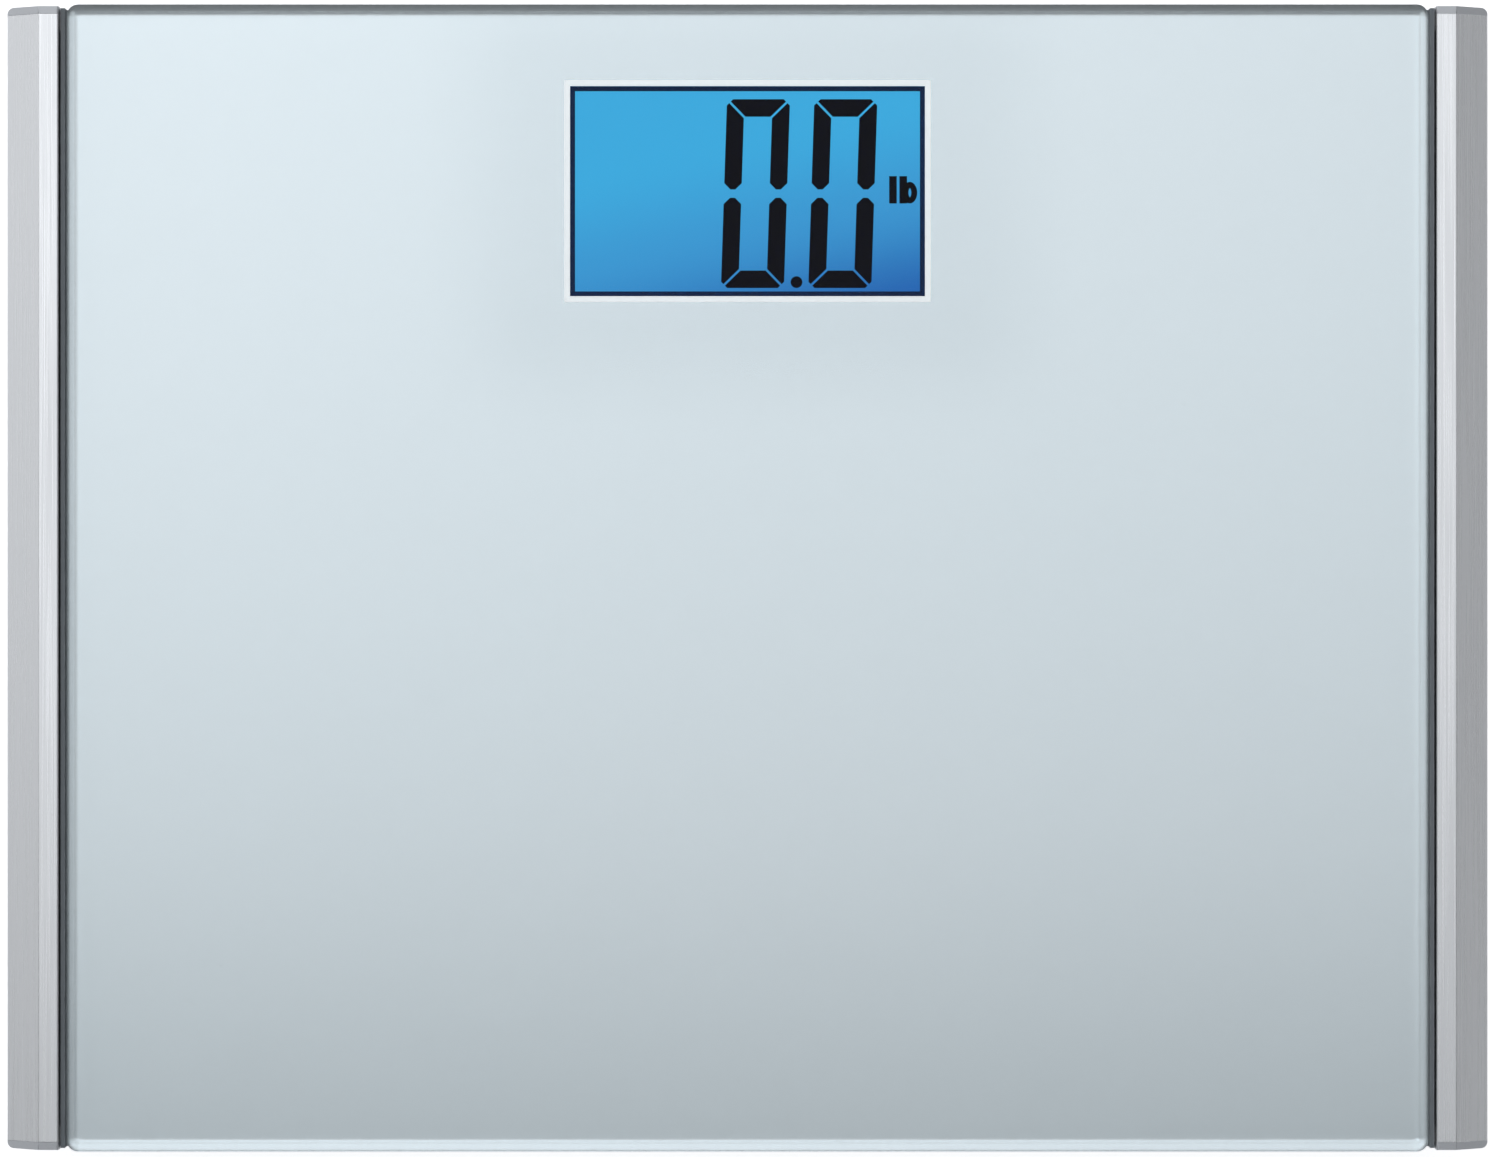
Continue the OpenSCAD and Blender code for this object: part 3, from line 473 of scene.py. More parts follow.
# %% Moulded plastic
def moulded(name, colour, grain_mm=0.45, depth_mm=0.02, roughness=0.5, wear=0.5, dust=0.06, sheen=0.0):
    """A moulded plastic or rubber."""
    material, graph, shader, _ = new_material(name, Sheen_Weight=sheen)
    grain = place_group(graph, GRAIN, Colour=colour, Size_mm=grain_mm, Colour_Shift=0.09,
                        Roughness=roughness, Roughness_Shift=0.16)
    paler = tuple(min(1, channel * 2.2 + 0.03) for channel in colour[:3]) + (1,)
    used = place_group(graph, HANDLING, Colour=grain["Colour"], Worn_Colour=paler, Wear=wear, Dust=dust)
    graph.feed(shader, "Base Color", used["Colour"])
    graph.feed(shader, "Roughness", grain["Roughness"])
    soft_bump(graph, shader, grain["Height"], depth_mm)
    return material


PLASTICS = {
    "tray_plastic": moulded("tray_plastic", srgb(124, 130, 136), 0.7, 0.035, 0.56, dust=0.10),
    "door_plastic": moulded("door_plastic", srgb(116, 122, 128), 0.55, 0.03, 0.52, wear=0.7),
    "button_plastic": moulded("button_plastic", srgb(158, 161, 166), 0.3, 0.012, 0.42, wear=0.9),
    "foot_plastic": moulded("foot_plastic", srgb(58, 60, 64), 0.4, 0.02, 0.48, wear=0.8, dust=0.12),
    "clip_plastic": moulded("clip_plastic", srgb(60, 61, 64), 0.35, 0.012, 0.45),
    "white_plastic": moulded("white_plastic", srgb(232, 232, 228), 0.3, 0.006, 0.32, wear=0.1),
    "component_plastic": moulded("component_plastic", srgb(34, 34, 36), 0.12, 0.006, 0.4, wear=0.2),
    "plunger_plastic": moulded("plunger_plastic", srgb(176, 38, 30), 0.2, 0.004, 0.3, wear=0.2),
    "gauge_coating": moulded("gauge_coating", srgb(230, 230, 222), 0.8, 0.05, 0.3, wear=0.1),
    "black_tape": moulded("black_tape", srgb(30, 30, 32), 0.25, 0.05, 0.85, wear=0.2, sheen=0.2),
    "pad_rubber": moulded("pad_rubber", srgb(36, 36, 38), 0.35, 0.02, 0.78, wear=0.35, dust=0.3,
                          sheen=0.15),
    "red_wire": moulded("red_wire", srgb(188, 40, 32), 0.3, 0.01, 0.38, wear=0.1),
    "black_wire": moulded("black_wire", srgb(34, 34, 36), 0.3, 0.01, 0.38, wear=0.1),
}
print(len(PLASTICS), "plastics and rubbers")

# %% [markdown]
# ## Metals
# The rails are extruded aluminium. The die leaves faint lines along them, and a clear satin
# anodising softens the shine. The load cells and screws are plated steel, ground one way. All of
# them are the same recipe with other numbers: streaks in the colour, the roughness and the height.

# %% Metal
def metal(name, colour, width_mm, stretch, roughness, shift=0.06, depth_mm=0.004, wear=0.3):
    """A metal with fine lines along Y."""
    material, graph, shader, _ = new_material(name, Metallic=1)
    lines = place_group(graph, LINES, Colour=colour, Width_mm=width_mm, Stretch=stretch,
                        Colour_Shift=shift, Roughness=roughness, Roughness_Shift=0.08)
    bright = tuple(min(1, channel * 1.15 + 0.04) for channel in colour[:3]) + (1,)
    used = place_group(graph, HANDLING, Colour=lines["Colour"], Worn_Colour=bright, Wear=wear, Dust=0.02)
    graph.feed(shader, "Base Color", used["Colour"])
    graph.feed(shader, "Roughness", lines["Roughness"])
    soft_bump(graph, shader, lines["Height"], depth_mm, edge_mm=0.3)
    return material


METALS = {
    "anodised_aluminium": metal("anodised_aluminium", srgb(240, 241, 244), 0.22, 260, 0.3, shift=0.03,
                                depth_mm=0.002),
    "screw_steel": metal("screw_steel", srgb(196, 197, 200), 0.12, 3, 0.3, wear=0.6),
    "contact_steel": metal("contact_steel", srgb(214, 212, 206), 0.1, 20, 0.22),
    "load_cell_steel": metal("load_cell_steel", srgb(192, 193, 196), 0.15, 90, 0.32, shift=0.1),
}
print(len(METALS), "metals")

# %% [markdown]
# ## The silver paint
# The back of the glass is painted silver. Paint like this is half metal flake, so it is part mirror
# and part matt, and it takes the soft shine of the room without showing a picture of it.

# %% Silver paint
def silver_paint(name):
    """Metal-flake paint behind glass."""
    material, graph, shader, _ = new_material(name, Metallic=0.82)
    grain = place_group(graph, GRAIN, Colour=srgb(228, 235, 240), Size_mm=0.12, Colour_Shift=0.004,
                        Roughness=0.27, Roughness_Shift=0.006)
    use_texture(graph, shader, grain)
    slight_bump(graph, shader, grain["Height"], 0.06, 0.001)
    return material


SILVER = silver_paint("silver_film")
print("made", SILVER.name)

# %% [markdown]
# ## The clear glass
# Glass needs only a low roughness and full transmission. Light reaches the paint through it, so for
# shadow rays the shader is swapped for a clear one, or the paint would sit in a false shadow. A faint
# smear in the roughness is the wipe marks that any glass platform has.

# %% Clear glass
def clear_glass(name, tint):
    """Glass that lets light through to what lies under it."""
    material, graph, shader, output = new_material(name, Metallic=0, IOR=1.34, Transmission_Weight=1)
    place = object_place(graph)
    smear = graph.add("ShaderNodeTexNoise", Vector=place, Scale=9, Detail=6, Roughness=0.7).outputs["Fac"]
    graph.feed(shader, "Roughness", graph.ramp(smear, 0.4, 0.8, 0.004, 0.03))
    cloudy = graph.add("ShaderNodeTexNoise", Vector=place, Scale=3, Detail=2).outputs["Fac"]
    paler = tuple(1 - (1 - channel) * 0.8 for channel in tint[:3]) + (1,)
    graph.feed(shader, "Base Color", graph.mix(graph.ramp(cloudy, 0.3, 0.7), tint, paler))
    through = graph.add("ShaderNodeBsdfTransparent", Color=tint)
    shadow = graph.add("ShaderNodeLightPath").outputs["Is Shadow Ray"]
    graph.feed(output, "Surface", graph.choose(shadow, shader.outputs[0], through.outputs[0]))
    return material


GLASS = clear_glass("clear_glass", (0.972, 0.99, 0.992, 1))
LIGHT_GUIDE = clear_glass("light_guide_acrylic", (0.93, 0.97, 1.0, 1))
print("made", GLASS.name, "and", LIGHT_GUIDE.name)

# %% [markdown]
# ## The lit display
# Lamps along one edge push light sideways through a clear guide, so the panel is brightest near the
# far side and falls off towards the near corner. The colour is worked out from Object coordinates, so
# it stays on the panel from any side.

# %% Lit display
PANEL_BRIGHT = srgb(62, 178, 233)
PANEL_MIDDLE = srgb(60, 157, 219)
PANEL_DEEP = srgb(34, 102, 184)


def lit_panel(name, strength):
    """A backlit face whose blue deepens towards its near right corner."""
    material, graph, shader, _ = new_material(name, Metallic=0, Emission_Strength=strength,
                                              Specular_IOR_Level=0.05)
    part = graph.add("ShaderNodeSeparateXYZ", Vector=object_place(graph)).outputs
    down = graph.math("SUBTRACT", face_high.y, part["Y"])
    lean = graph.math("MULTIPLY", graph.math("SUBTRACT", part["X"], face_low.x), 0.22)
    fall = graph.math("ADD", down, lean)
    height = face_high.y - face_low.y
    upper = graph.mix(graph.ramp(fall, height * 0.45, height * 0.95), PANEL_BRIGHT, PANEL_MIDDLE)
    blue = graph.mix(graph.ramp(fall, height * 0.85, height * 1.35), upper, PANEL_DEEP)
    grain = place_group(graph, GRAIN, Colour=blue, Size_mm=0.3, Colour_Shift=0.01, Roughness=0.4,
                        Roughness_Shift=0.04)
    graph.feed(shader, "Emission Color", grain["Colour"])
    graph.feed(shader, "Base Color", graph.mix(0.9, grain["Colour"], (0, 0, 0, 1)))
    graph.feed(shader, "Roughness", grain["Roughness"])
    return material


PANEL = lit_panel("polariser_film", 0.87)
print("made", PANEL.name)

# %% [markdown]
# ## Inks and films
# A printed line, a label and a painted cap are all a thin, even layer. They differ in colour, in how
# much metal flake is in them, in shine, and in a painted glow, so one recipe does them.

# %% Inks and films
def fine_film(name, colour, roughness, metallic=0.0, size_mm=0.25, shift=0.03, shine=0.5, painted_glow=0.0):
    """A printed or coated layer with a fine, even texture. painted_glow is emission painted into the layer.
    """
    material, graph, shader, _ = new_material(name, Metallic=metallic, Specular_IOR_Level=shine,
                                              Emission_Strength=painted_glow)
    grain = place_group(graph, GRAIN, Colour=colour, Size_mm=size_mm, Colour_Shift=shift,
                        Roughness=roughness, Roughness_Shift=0.06)
    use_texture(graph, shader, grain)
    if painted_glow:
        graph.feed(shader, "Emission Color", grain["Colour"])
    slight_bump(graph, shader, grain["Height"], 0.4, 0.003)
    return material


INK = fine_film("segment_ink", srgb(2, 3, 22), 0.6, shine=0.0)
# painted shadow: a dark navy ink for the ring that stands for the shade of the window's edge
WINDOW_SHADOW_INK = fine_film("painted_window_shadow", srgb(14, 48, 92), 0.5, shine=0.05)
# painted glow: the pale keyline ink is given emission, though only opaque silver paint lies behind it
KEYLINE_INK_PAINTED_GLOW = fine_film("keyline_ink_painted_glow", srgb(244, 246, 248), 0.5, shift=0.01, painted_glow=0.45)
LCD_GLASS = fine_film("lcd_glass", srgb(120, 136, 140), 0.08)
LABEL = fine_film("label_film", srgb(196, 197, 199), 0.36, metallic=0.35, size_mm=0.6)
LAMP = fine_film("lamp_plastic", srgb(240, 226, 150), 0.25)
CAP = fine_film("cap_plastic", srgb(206, 208, 213), 0.4, metallic=0.75, size_mm=0.5, shift=0.02)
print("made", INK.name, WINDOW_SHADOW_INK.name, KEYLINE_INK_PAINTED_GLOW.name, LABEL.name, CAP.name)

# %% [markdown]
# ## Board, contact strip and cells
# The board is green fibreglass: under the solder mask its woven cloth shows as a fine check. The
# contact strip is rubber in thin black and pale layers. Each cell has a printed wrap in two bands.
# None of them shows until the door is open, but then they have to look right.

# %% Board, strip and cell wraps
def wave_along(graph, axis, place, scale):
    """Stripes across one axis."""
    return graph.add("ShaderNodeTexWave", {"bands_direction": axis}, Vector=place, Scale=scale).outputs["Fac"]


def woven_board(name):
    """Green solder mask over woven fibreglass, with faint copper tracks."""
    material, graph, shader, _ = new_material(name, Metallic=0)
    place = object_place(graph)
    weave = graph.times(*(wave_along(graph, axis, place, 900) for axis in "XY"))
    cells = graph.add("ShaderNodeTexVoronoi", {"distance": "MANHATTAN", "feature": "F1"}, Vector=place,
                      Scale=230).outputs["Distance"]
    tracks = graph.ramp(cells, 0.42, 0.46)
    mask = graph.mix(graph.times(weave, 0.4), srgb(16, 84, 48), srgb(28, 108, 62))
    colour = graph.mix(graph.times(tracks, 0.55), mask, srgb(52, 136, 78))
    graph.feed(shader, "Base Color", colour)
    graph.feed(shader, "Roughness", graph.ramp(weave, 0, 1, 0.3, 0.42))
    soft_bump(graph, shader, tracks, 0.02)
    return material


def banded_wrap(name):
    """A cell's wrap: a dark band at one end and a pale one at the other."""
    material, graph, shader, _ = new_material(name, Metallic=0.25)
    part = graph.add("ShaderNodeSeparateXYZ", Vector=object_place(graph)).outputs
    cell_low, cell_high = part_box("battery_cell_1")
    along = "X" if cell_high.x - cell_low.x > cell_high.y - cell_low.y else "Y"
    start = cell_low.x if along == "X" else cell_low.y
    stop = cell_high.x if along == "X" else cell_high.y
    split = start + (stop - start) * 0.3
    band = graph.ramp(part[along], split - 0.15 * MM, split + 0.15 * MM)
    colour = graph.mix(band, srgb(196, 132, 52), srgb(40, 42, 48))
    grain = place_group(graph, GRAIN, Colour=colour, Size_mm=0.4, Colour_Shift=0.04, Roughness=0.26,
                        Roughness_Shift=0.05)
    use_texture(graph, shader, grain)
    soft_bump(graph, shader, grain["Height"], 0.006)
    return material


def layered_strip(name):
    """Rubber in thin conducting and insulating layers."""
    material, graph, shader, _ = new_material(name, Metallic=0)
    layers = wave_along(graph, "X", object_place(graph), 1250)
    graph.feed(shader, "Base Color", graph.mix(layers, srgb(28, 28, 30), srgb(206, 188, 190)))
    graph.feed(shader, "Roughness", graph.ramp(layers, 0, 1, 0.7, 0.55))
    return material


BOARD = woven_board("board_laminate")
WRAP = banded_wrap("cell_wrap")
STRIP = layered_strip("contact_rubber")
print("made", BOARD.name, WRAP.name, STRIP.name)

# %% [markdown]
# ## Dressing the frame
# The record names a finish slot for every node. Each slot gets one of the materials above, and a node
# whose shape is already right simply wears it.

# %% Put the materials on the frame
FINISHES = {**PLASTICS, **METALS, "cap_plastic": CAP, "silver_film": SILVER, "clear_glass": GLASS,
            "light_guide_acrylic": LIGHT_GUIDE, "polariser_film": PANEL, "lcd_glass": LCD_GLASS,
            "label_film": LABEL, "lamp_plastic": LAMP, "board_laminate": BOARD, "cell_wrap": WRAP,
            "contact_rubber": STRIP}
slot_of = {part["node"]: part["material_slot"] for part in frame["record"]["subparts"]}


def dress(piece, material):
    """Gives a piece one material all over."""
    piece.data.materials.clear()
    piece.data.materials.append(material)


undressed = [name for name in frame["nodes"] if slot_of.get(name) not in FINISHES]
if undressed:
    raise ValueError(f"these nodes have no finish: {undressed}")
for name, node in frame["nodes"].items():
    for material_slot in node.material_slots:
        material_slot.material = FINISHES[slot_of[name]]
print("dressed", len(frame["nodes"]), "nodes")

# %% [markdown]
# ## Pieces and their bodies
# A new piece is finished in one call: it takes a material, rides on a body, and hides the CAD node
# that it redraws, if there is one.

# %% Finish a piece
def finish_piece(piece, material, body, slot_name, *nodes):
    """Dresses a piece, puts it on a body and hides the CAD nodes that it stands for."""
    dress(piece, material)
    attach(piece, body)
    if nodes:
        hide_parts(*nodes)
    only(piece)
    bpy.ops.object.select_all(action="DESELECT")
    print(piece.name, len(piece.data.polygons), "faces")

# %% [markdown]
# ## The bevelled glass
# The platform is a sheet of glass with a ground and polished edge. It starts as a block. Its upright
# corners are rounded, then the rim of the top is bevelled, and last the sharp lines that grinding
# leaves are eased a little. Its underside stops a hair above the paint, because two surfaces in the
# same place would flicker.

# %% Model the glass
CORNER_R = 3 * MM
CHAMFER = 2.2 * MM
EASE = 0.18 * MM
AIR = 0.04 * MM

glass = add_block("bevelled_glass", (glass_low.x, glass_low.y, glass_low.z + AIR), glass_high)
enter(glass)
pick(glass, "EDGE", lambda edge: near(edge.verts[0].co.x, edge.verts[1].co.x)
     and near(edge.verts[0].co.y, edge.verts[1].co.y))
bpy.ops.mesh.bevel(offset=CORNER_R, segments=8, affect="EDGES")
pick(glass, "EDGE", lambda edge: all(near(vert.co.z, glass_high.z) for vert in edge.verts))
bpy.ops.mesh.bevel(offset=CHAMFER, segments=1, affect="EDGES")
leave()
apply_modifier(glass, "BEVEL", width=EASE, segments=2, limit_method="ANGLE", angle_limit=math.radians(25))
smooth(glass, 24)
finish_piece(glass, GLASS, "root", "clear_glass", "glass_platform")

# %% [markdown]
# ## The printed keyline
# A thin pale line is printed round the display window on the back of the glass. It is a sheet the size
# of its outside, inset by its width, with the middle taken out.

# %% Model flat rings
def add_ring(name, centre, inner_width, inner_depth, line, thickness):
    """A thin flat frame round a rectangle."""
    ring = add_sheet(name, centre, inner_width + 2 * line, inner_depth + 2 * line)
    enter(ring)
    bpy.ops.mesh.select_all(action="SELECT")
    bpy.ops.mesh.inset(thickness=line, depth=0)
    pick(ring, "FACE", lambda face: all(abs(vert.co.x - centre[0]) < inner_width / 2 + 0.01 * MM
                                        and abs(vert.co.y - centre[1]) < inner_depth / 2 + 0.01 * MM
                                        for vert in face.verts))
    bpy.ops.mesh.delete(type="FACE")
    leave()
    thicken(ring, thickness)
    return ring


KEYLINE = 1.5 * MM
keyline = add_ring("window_keyline", (window_centre.x, window_centre.y, film_high.z + 0.006 * MM),
                   WINDOW_SIZE.x, WINDOW_SIZE.y, KEYLINE, 0.012 * MM)
# the keyline's ink carries a painted glow
finish_piece(keyline, KEYLINE_INK_PAINTED_GLOW, "root", "white_plastic")

# %% [markdown]
# ## The painted shadow round the display
# Inside the window a dark ring of ink is laid round the panel, a painted shadow of the window's edge.
# It lies on the polariser, a little below the keyline, so the two part slightly when seen from the side.

# %% Model the painted window shadow
WINDOW_SHADOW_BAND = 1.3 * MM
INK_T = 0.02 * MM
ink_z = face_high.z + 0.004 * MM
# a ring of dark ink laid where the window's edge casts its shade: a painted shadow
window_shadow_ring = add_ring("painted_window_edge_shadow", (window_centre.x, window_centre.y, ink_z),
                  WINDOW_SIZE.x - 2 * WINDOW_SHADOW_BAND, WINDOW_SIZE.y - 2 * WINDOW_SHADOW_BAND, WINDOW_SHADOW_BAND, INK_T)
finish_piece(window_shadow_ring, WINDOW_SHADOW_INK, "root", "lcd_glass")

# %% [markdown]
# ## The readout
# An LCD digit is made of bars with mitred ends and small gaps between them. One long bar and one short
# bar are enough: each starts as a rectangle, and its ends are drawn in to a mitre in edit mode. The
# rest of a zero is copies, and the whole digit leans a little, as LCD digits do. The digits are
# generic numbers, so nothing here is a mark.

# %% Measure a digit
DIGIT_H = 49.7 * MM
DIGIT_W = 16.6 * MM
STROKE = 4.6 * MM
GAP = 0.4 * MM
CLIP = 1.65 * MM
POINT_CUT = 1.65 * MM
WAIST = 2.2 * MM
LEAN = 1.6 * MM / DIGIT_H
DIGIT_X = (window_centre.x + 2.1 * MM, window_centre.x + 25.1 * MM)
DIGIT_Y = window_centre.y - 0.6 * MM


def move_corner(bar, corner, move):
    """Moves the one vertex of a flat bar that lies at corner."""
    pick(bar, "VERT", lambda vert: near(vert.co.x, corner[0]) and near(vert.co.y, corner[1]))
    bpy.ops.transform.translate(value=(move[0], move[1], 0))


print("a digit is", round(DIGIT_W / MM, 1), "by", round(DIGIT_H / MM, 1), "mm")

# %% [markdown]
# ## The bars
# A cross bar is drawn in at both ends of its inner side. A side bar is drawn in at one end only, and
# cut to a blunt point at the other, where it meets its neighbour at the waist of the digit.

# %% Model the bars
def add_cross_bar(centre_x, level):
    """The top (level 1) or bottom (level -1) bar, whose inner side is drawn in to a mitre."""
    reach, y_outer = DIGIT_W / 2 - GAP, DIGIT_Y + level * DIGIT_H / 2
    bar = add_sheet("bar", (centre_x, y_outer - level * STROKE / 2, ink_z), 2 * reach, STROKE)
    enter(bar)
    for side in (-1, 1):
        move_corner(bar, (centre_x + side * reach, y_outer - level * STROKE), (-side * STROKE, 0))
    leave()
    return bar


def add_side_bar(centre_x, side, level):
    """An upright bar: mitred where it meets a cross bar, and pointed at the digit's waist."""
    x_outer = centre_x + side * DIGIT_W / 2
    y_far, y_near = DIGIT_Y + level * (DIGIT_H / 2 - GAP), DIGIT_Y + level * WAIST / 2
    bar = add_sheet("bar", (x_outer - side * STROKE / 2, (y_far + y_near) / 2, ink_z), STROKE,
                    abs(y_far - y_near))
    enter(bar)
    move_corner(bar, (x_outer - side * STROKE, y_far), (0, -level * STROKE))
    pick(bar, "VERT", lambda vert: near(vert.co.y, y_near))
    bpy.ops.mesh.bevel(offset=POINT_CUT, segments=1, affect="VERTICES")
    leave()
    return bar


print("bars are", round(STROKE / MM, 1), "mm wide")

# %% [markdown]
# ## The zeros
# Six bars are joined into one digit, its corners are cut off, and a shear leans it over. A shear keeps
# the cross bars level, as on a real display, where turning the digit would tilt them.

# %% Model the zeros
def clip_corner(digit, centre_x, side, level):
    """Cuts one outer corner of a digit off, at 45 degrees."""
    enter(digit)
    bpy.ops.mesh.select_all(action="SELECT")
    on_cut = (centre_x + side * (DIGIT_W / 2 - CLIP), DIGIT_Y + level * DIGIT_H / 2, ink_z)
    bpy.ops.mesh.bisect(plane_co=on_cut, plane_no=(side, level, 0), clear_outer=True)
    leave()


def add_zero(name, centre_x):
    """Six bars with the outer corners clipped, leant over and given a thickness."""
    bars = [add_cross_bar(centre_x, level) for level in (-1, 1)]
    bars += [add_side_bar(centre_x, side, level) for side in (-1, 1) for level in (-1, 1)]
    zero = join(bars, name)
    for side in (-1, 1):
        for level in (-1, 1):
            clip_corner(zero, centre_x, side, level)
    lean = Matrix(((1, LEAN, 0, -LEAN * DIGIT_Y), (0, 1, 0, 0), (0, 0, 1, 0), (0, 0, 0, 1)))
    zero.data.transform(lean)
    thicken(zero, INK_T)
    return zero


zeros = [add_zero("readout_zero_" + place, x) for place, x in zip(("units", "tenths"), DIGIT_X)]
for zero in zeros:
    finish_piece(zero, INK, "root", "polariser_film")

# %% [markdown]
# ## The point and the unit
# A round point parts the digits, and two small letters give the unit of weight. The point is a circle
# filled in. The letter b is a stem with a ring beside it, and l is one bar.

# %% Model the point and the letters
POINT_R = 1.55 * MM
UNIT_LOW = window_centre.y - 3.2 * MM
UNIT_HIGH = window_centre.y + 4.0 * MM
BOWL_HIGH = window_centre.y + 2.5 * MM
STEM = 2.0 * MM
STEM_L_X = window_centre.x + 37.3 * MM
STEM_B_X = window_centre.x + 40.0 * MM
BOWL_X = window_centre.x + 42.75 * MM
BOWL_LINE = 1.55 * MM
BOWL_SQUEEZE = 0.68


def add_round(centre_x, centre_y, radius, squeeze=1):
    """A filled circle of ink, made narrower by squeeze."""
    bpy.ops.object.select_all(action="DESELECT")
    bpy.ops.mesh.primitive_circle_add(vertices=28, radius=radius, fill_type="NGON",
                                      location=(centre_x, centre_y, ink_z))
    piece = bpy.context.object
    piece.scale = (squeeze, 1, 1)
    bpy.ops.object.transform_apply(location=True, rotation=True, scale=True)
    return piece


point = add_round(window_centre.x + 12.9 * MM, window_centre.y - 23.9 * MM, POINT_R)
point.name = "readout_point"
thicken(point, INK_T)
finish_piece(point, INK, "root", "polariser_film")


def add_stem(name, left):
    """The upright bar of a letter."""
    return add_sheet(name, (left + STEM / 2, (UNIT_LOW + UNIT_HIGH) / 2, ink_z), STEM, UNIT_HIGH - UNIT_LOW)


letter_l = add_stem("stem_l", STEM_L_X)
stem_b = add_stem("stem_b", STEM_B_X)
bowl = add_round(BOWL_X, (UNIT_LOW + BOWL_HIGH) / 2, (BOWL_HIGH - UNIT_LOW) / 2, BOWL_SQUEEZE)
enter(bowl)
bpy.ops.mesh.select_all(action="SELECT")
bpy.ops.mesh.inset(thickness=BOWL_LINE, depth=0)
bpy.ops.mesh.delete(type="FACE")
leave()
unit = join([letter_l, stem_b, bowl], "readout_unit")
thicken(unit, INK_T)
finish_piece(unit, INK, "root", "polariser_film")

# %% [markdown]
# ## Softened mouldings
# A real moulding has no knife edges. For a part whose CAD shape is right but crisp, a copy of its mesh
# is merged, its flat areas are cleaned, and a small bevel is applied. The copy then stands for the
# node, and the node itself is left as it was.

# %% Soften a node
def soften(node_name, piece_name, width_mm, material, body, slot_name, segments=2, angle=28):
    """Adds a copy of a CAD node with its edges eased."""
    node = frame["nodes"][node_name]
    piece = bpy.data.objects.new(piece_name, node.data.copy())
    bpy.context.scene.collection.objects.link(piece)
    enter(piece)
    bpy.ops.mesh.select_all(action="SELECT")
    bpy.ops.mesh.remove_doubles(threshold=0.002 * MM)
    bpy.ops.mesh.dissolve_limited(angle_limit=math.radians(1))
    leave()
    apply_modifier(piece, "BEVEL", width=width_mm * MM, segments=segments, limit_method="ANGLE",
                   angle_limit=math.radians(angle), use_clamp_overlap=True)
    smooth(piece, angle + 6)
    finish_piece(piece, material, body, slot_name, node_name)
    return piece


CORNERS = ("front_left", "front_right", "back_left", "back_right")
for corner in CORNERS:
    soften(corner + "_end_cap", "rail_end_" + corner, 0.35, CAP, "root", "cap_plastic", 3)
    soften("foot_" + corner, "foot_cup_" + corner, 0.4, PLASTICS["foot_plastic"], "foot_" + corner,
           "foot_plastic", 3)
    soften("foot_pad_" + corner, "foot_tread_" + corner, 0.3, PLASTICS["pad_rubber"], "foot_" + corner,
           "pad_rubber", 3)
for side_name in ("left", "right"):
    soften(side_name + "_rail", "rail_skin_" + side_name, 0.45, METALS["anodised_aluminium"], "root",
           "anodised_aluminium", 3, 25)
soften("battery_door", "door_cover", 0.25, PLASTICS["door_plastic"], "battery_door", "door_plastic")
soften("unit_button", "unit_key", 0.3, PLASTICS["button_plastic"], "unit_button", "button_plastic", 3)

# %% [markdown]
# ## The floor
# The scale stands on a wide pale table, lit from inside as in a product studio. It glows less for the
# light that reaches the scale than for the eye, or the sides of the rails would wash out. It is solid
# from above and clear from below, so the underside of the scale can be looked at as well.

# %% Lay the floor
FLOOR_Z = -0.4 * MM
FLOOR_WIDTH = 9
floor = add_sheet("floor", (0, 0, FLOOR_Z), FLOOR_WIDTH, FLOOR_WIDTH)
enter(floor)
bpy.ops.mesh.select_all(action="SELECT")
bpy.ops.mesh.subdivide(number_cuts=7)
leave()
floor_material, graph, shader, output = new_material("pale_floor", Roughness=0.85)
paper = place_group(graph, GRAIN, Colour=srgb(244, 244, 245), Size_mm=0.6, Colour_Shift=0.004,
                    Roughness=0.85, Roughness_Shift=0.02)
graph.feed(shader, "Base Color", paper["Colour"])
graph.feed(shader, "Emission Color", paper["Colour"])
seen = graph.add("ShaderNodeLightPath").outputs["Is Camera Ray"]
graph.feed(shader, "Emission Strength", graph.ramp(seen, 0, 1, 0.4, 0.85))
under = graph.add("ShaderNodeNewGeometry").outputs["Backfacing"]
clear = graph.add("ShaderNodeBsdfTransparent")
graph.feed(output, "Surface", graph.choose(under, shader.outputs[0], clear.outputs[0]))
dress(floor, floor_material)
print("floor laid")

# %% [markdown]
# ## Soft boxes
# A soft box is a lamp behind a wide white cloth. One stands behind the scale and one at its left, and
# they open the rails and give the slow fade from the rear of the platform to the front.

# %% Hang the soft boxes
def add_softbox(name, place, aim, width, depth, power):
    """A large, soft, rectangular light that the camera doesn't see."""
    data = bpy.data.lights.new(name, "AREA")
    data.shape = "RECTANGLE"
    data.size, data.size_y = width, depth
    data.energy = power
    light = bpy.data.objects.new(name, data)
    bpy.context.scene.collection.objects.link(light)
    light.location = place
    light.rotation_euler = (Vector(aim) - Vector(place)).to_track_quat("-Z", "Y").to_euler()
    light.visible_camera = False
    return light


add_softbox("rear_softbox", (-0.10, 0.52, 0.52), (0, 0.02, 0), 0.55, 0.45, 0.4)
add_softbox("left_softbox", (-0.75, 0.52, 0.42), (-0.18, 0.1, 0), 0.4, 0.4, 0.5)

print("soft boxes hung")

# %% [markdown]
# ## The room
# Bare metal and glass show the room they stand in, so the room is drawn as a smooth dome of light. X,
# Y and Z are the direction that light comes from. The dome is brightest overhead and behind, dimmer
# towards the right, and in front it is light only low down, which keeps the front of the rails open.
# Dark bands high up at each side and a dim patch at the left front give the bevels of the glass their
# dark edges. A small dark card hangs where only the window mirrors it, so the readout stays black.

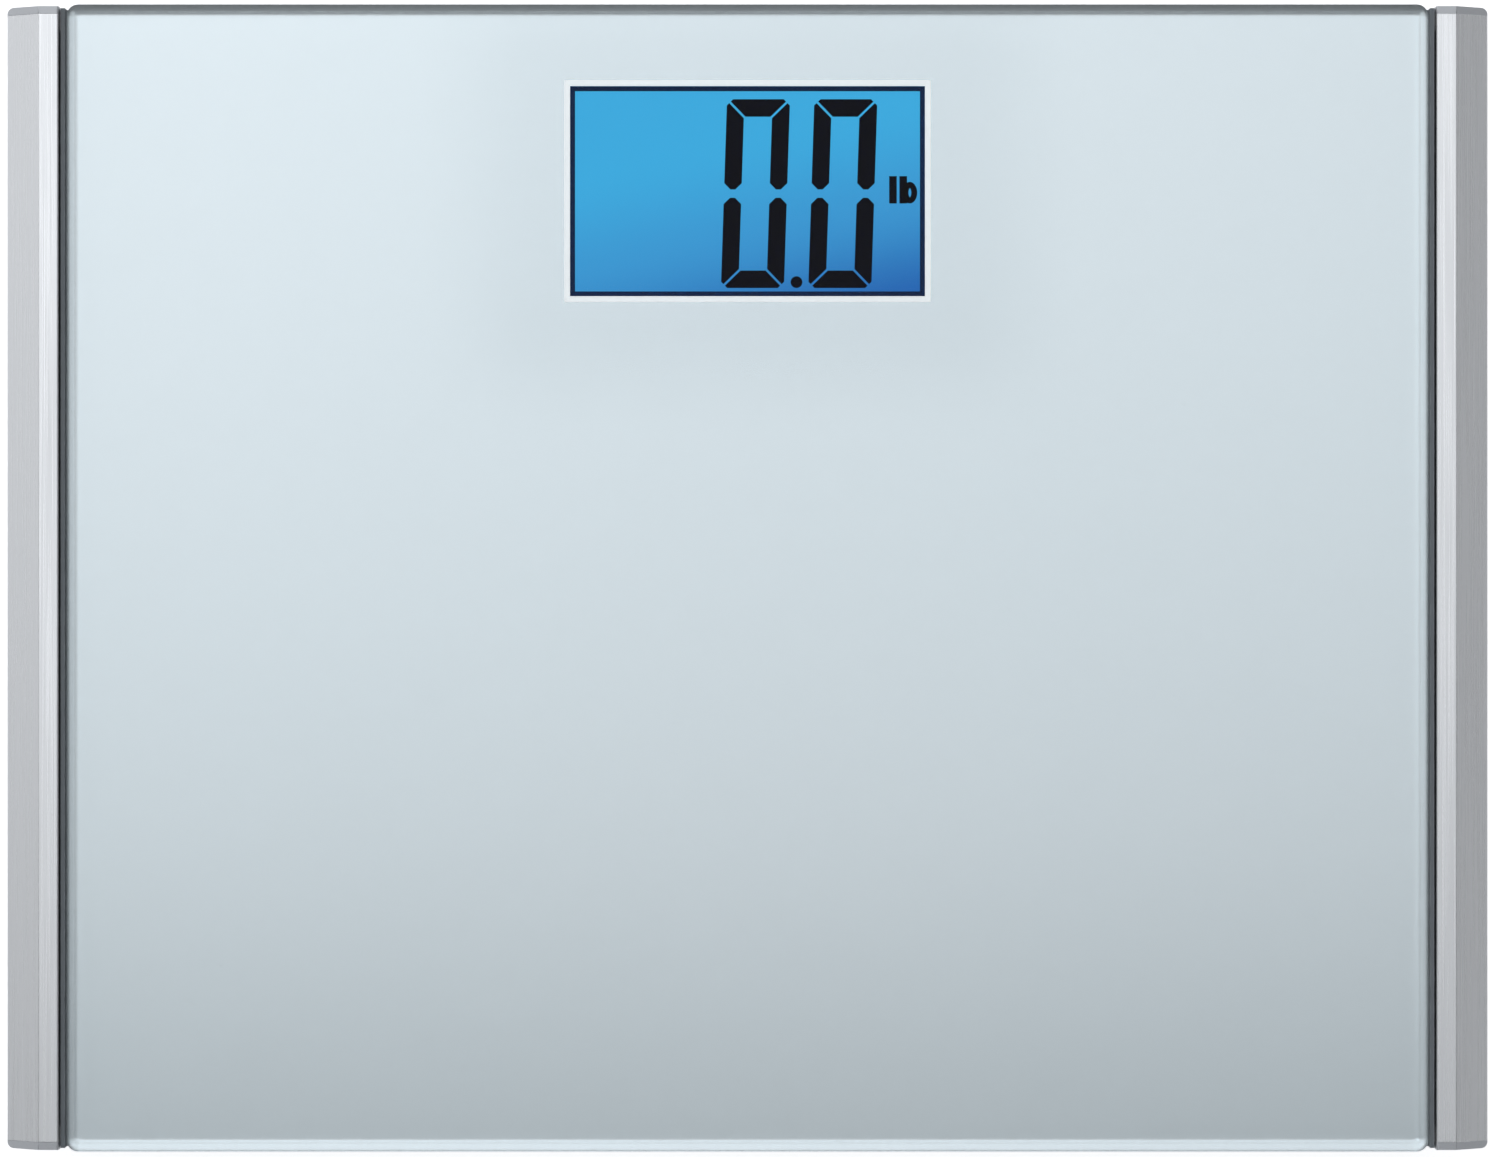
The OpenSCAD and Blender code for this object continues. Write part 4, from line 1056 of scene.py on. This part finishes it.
# %% Draw the room
SIDE_SHADE = 0.7
CARD_DEPTH = 0.85
CARD_Y = 0.062

world = bpy.data.worlds.new("studio")
bpy.context.scene.world = world
world.use_nodes = True
world.node_tree.nodes.clear()
sky = Graph(world.node_tree)
heading = sky.add("ShaderNodeTexCoord").outputs["Generated"]
part = sky.add("ShaderNodeSeparateXYZ", Vector=heading).outputs
across = sky.math("ABSOLUTE", part["X"])

front_level = sky.ramp(part["Z"], 0.4, 0.8, 0.9, 0.02)
rear_share = sky.ramp(part["Y"], -0.12, -0.03)
front_share = sky.math("SUBTRACT", 1, rear_share)
front_to_rear = sky.math("ADD", rear_share, sky.times(front_level, front_share))
far_rear = sky.ramp(part["Y"], 0.05, 0.2, 1, 0.82)
left_to_right = sky.ramp(part["X"], -0.9, 0.9, 0.94, 0.44)
left_front = sky.times(sky.ramp(part["X"], -0.62, -0.4, 1, 0), sky.ramp(part["Y"], -0.15, 0.04, 0.64, 0))
overhead = sky.ramp(part["Z"], 0.3, 0.85, 0.86, 2.12)

band = sky.math("SUBTRACT", sky.ramp(across, 0.13, 0.38), sky.ramp(across, 0.66, 0.88))
side_bands = sky.times(band, sky.ramp(part["Z"], 0.35, 0.55, 0, SIDE_SHADE))

from_card_y = sky.math("ABSOLUTE", sky.math("SUBTRACT", part["Y"], CARD_Y))
card = sky.times(sky.ramp(across, 0.032, 0.055, 1, 0), sky.ramp(from_card_y, 0.02, 0.04, 1, 0), CARD_DEPTH)

level = sky.times(front_to_rear, far_rear, left_to_right, overhead)
for dark in (left_front, side_bands, card):
    level = sky.times(level, sky.math("SUBTRACT", 1, dark))
background = sky.add("ShaderNodeBackground", Color=(0.96, 0.985, 1.0, 1), Strength=level)
sky.add("ShaderNodeOutputWorld", Surface=background.outputs[0])

bpy.context.scene.view_settings.view_transform = "Standard"
bpy.context.scene.view_settings.look = "None"
print("the room has", len(sky.tree.nodes), "nodes")

# %% [markdown]
# ## The end
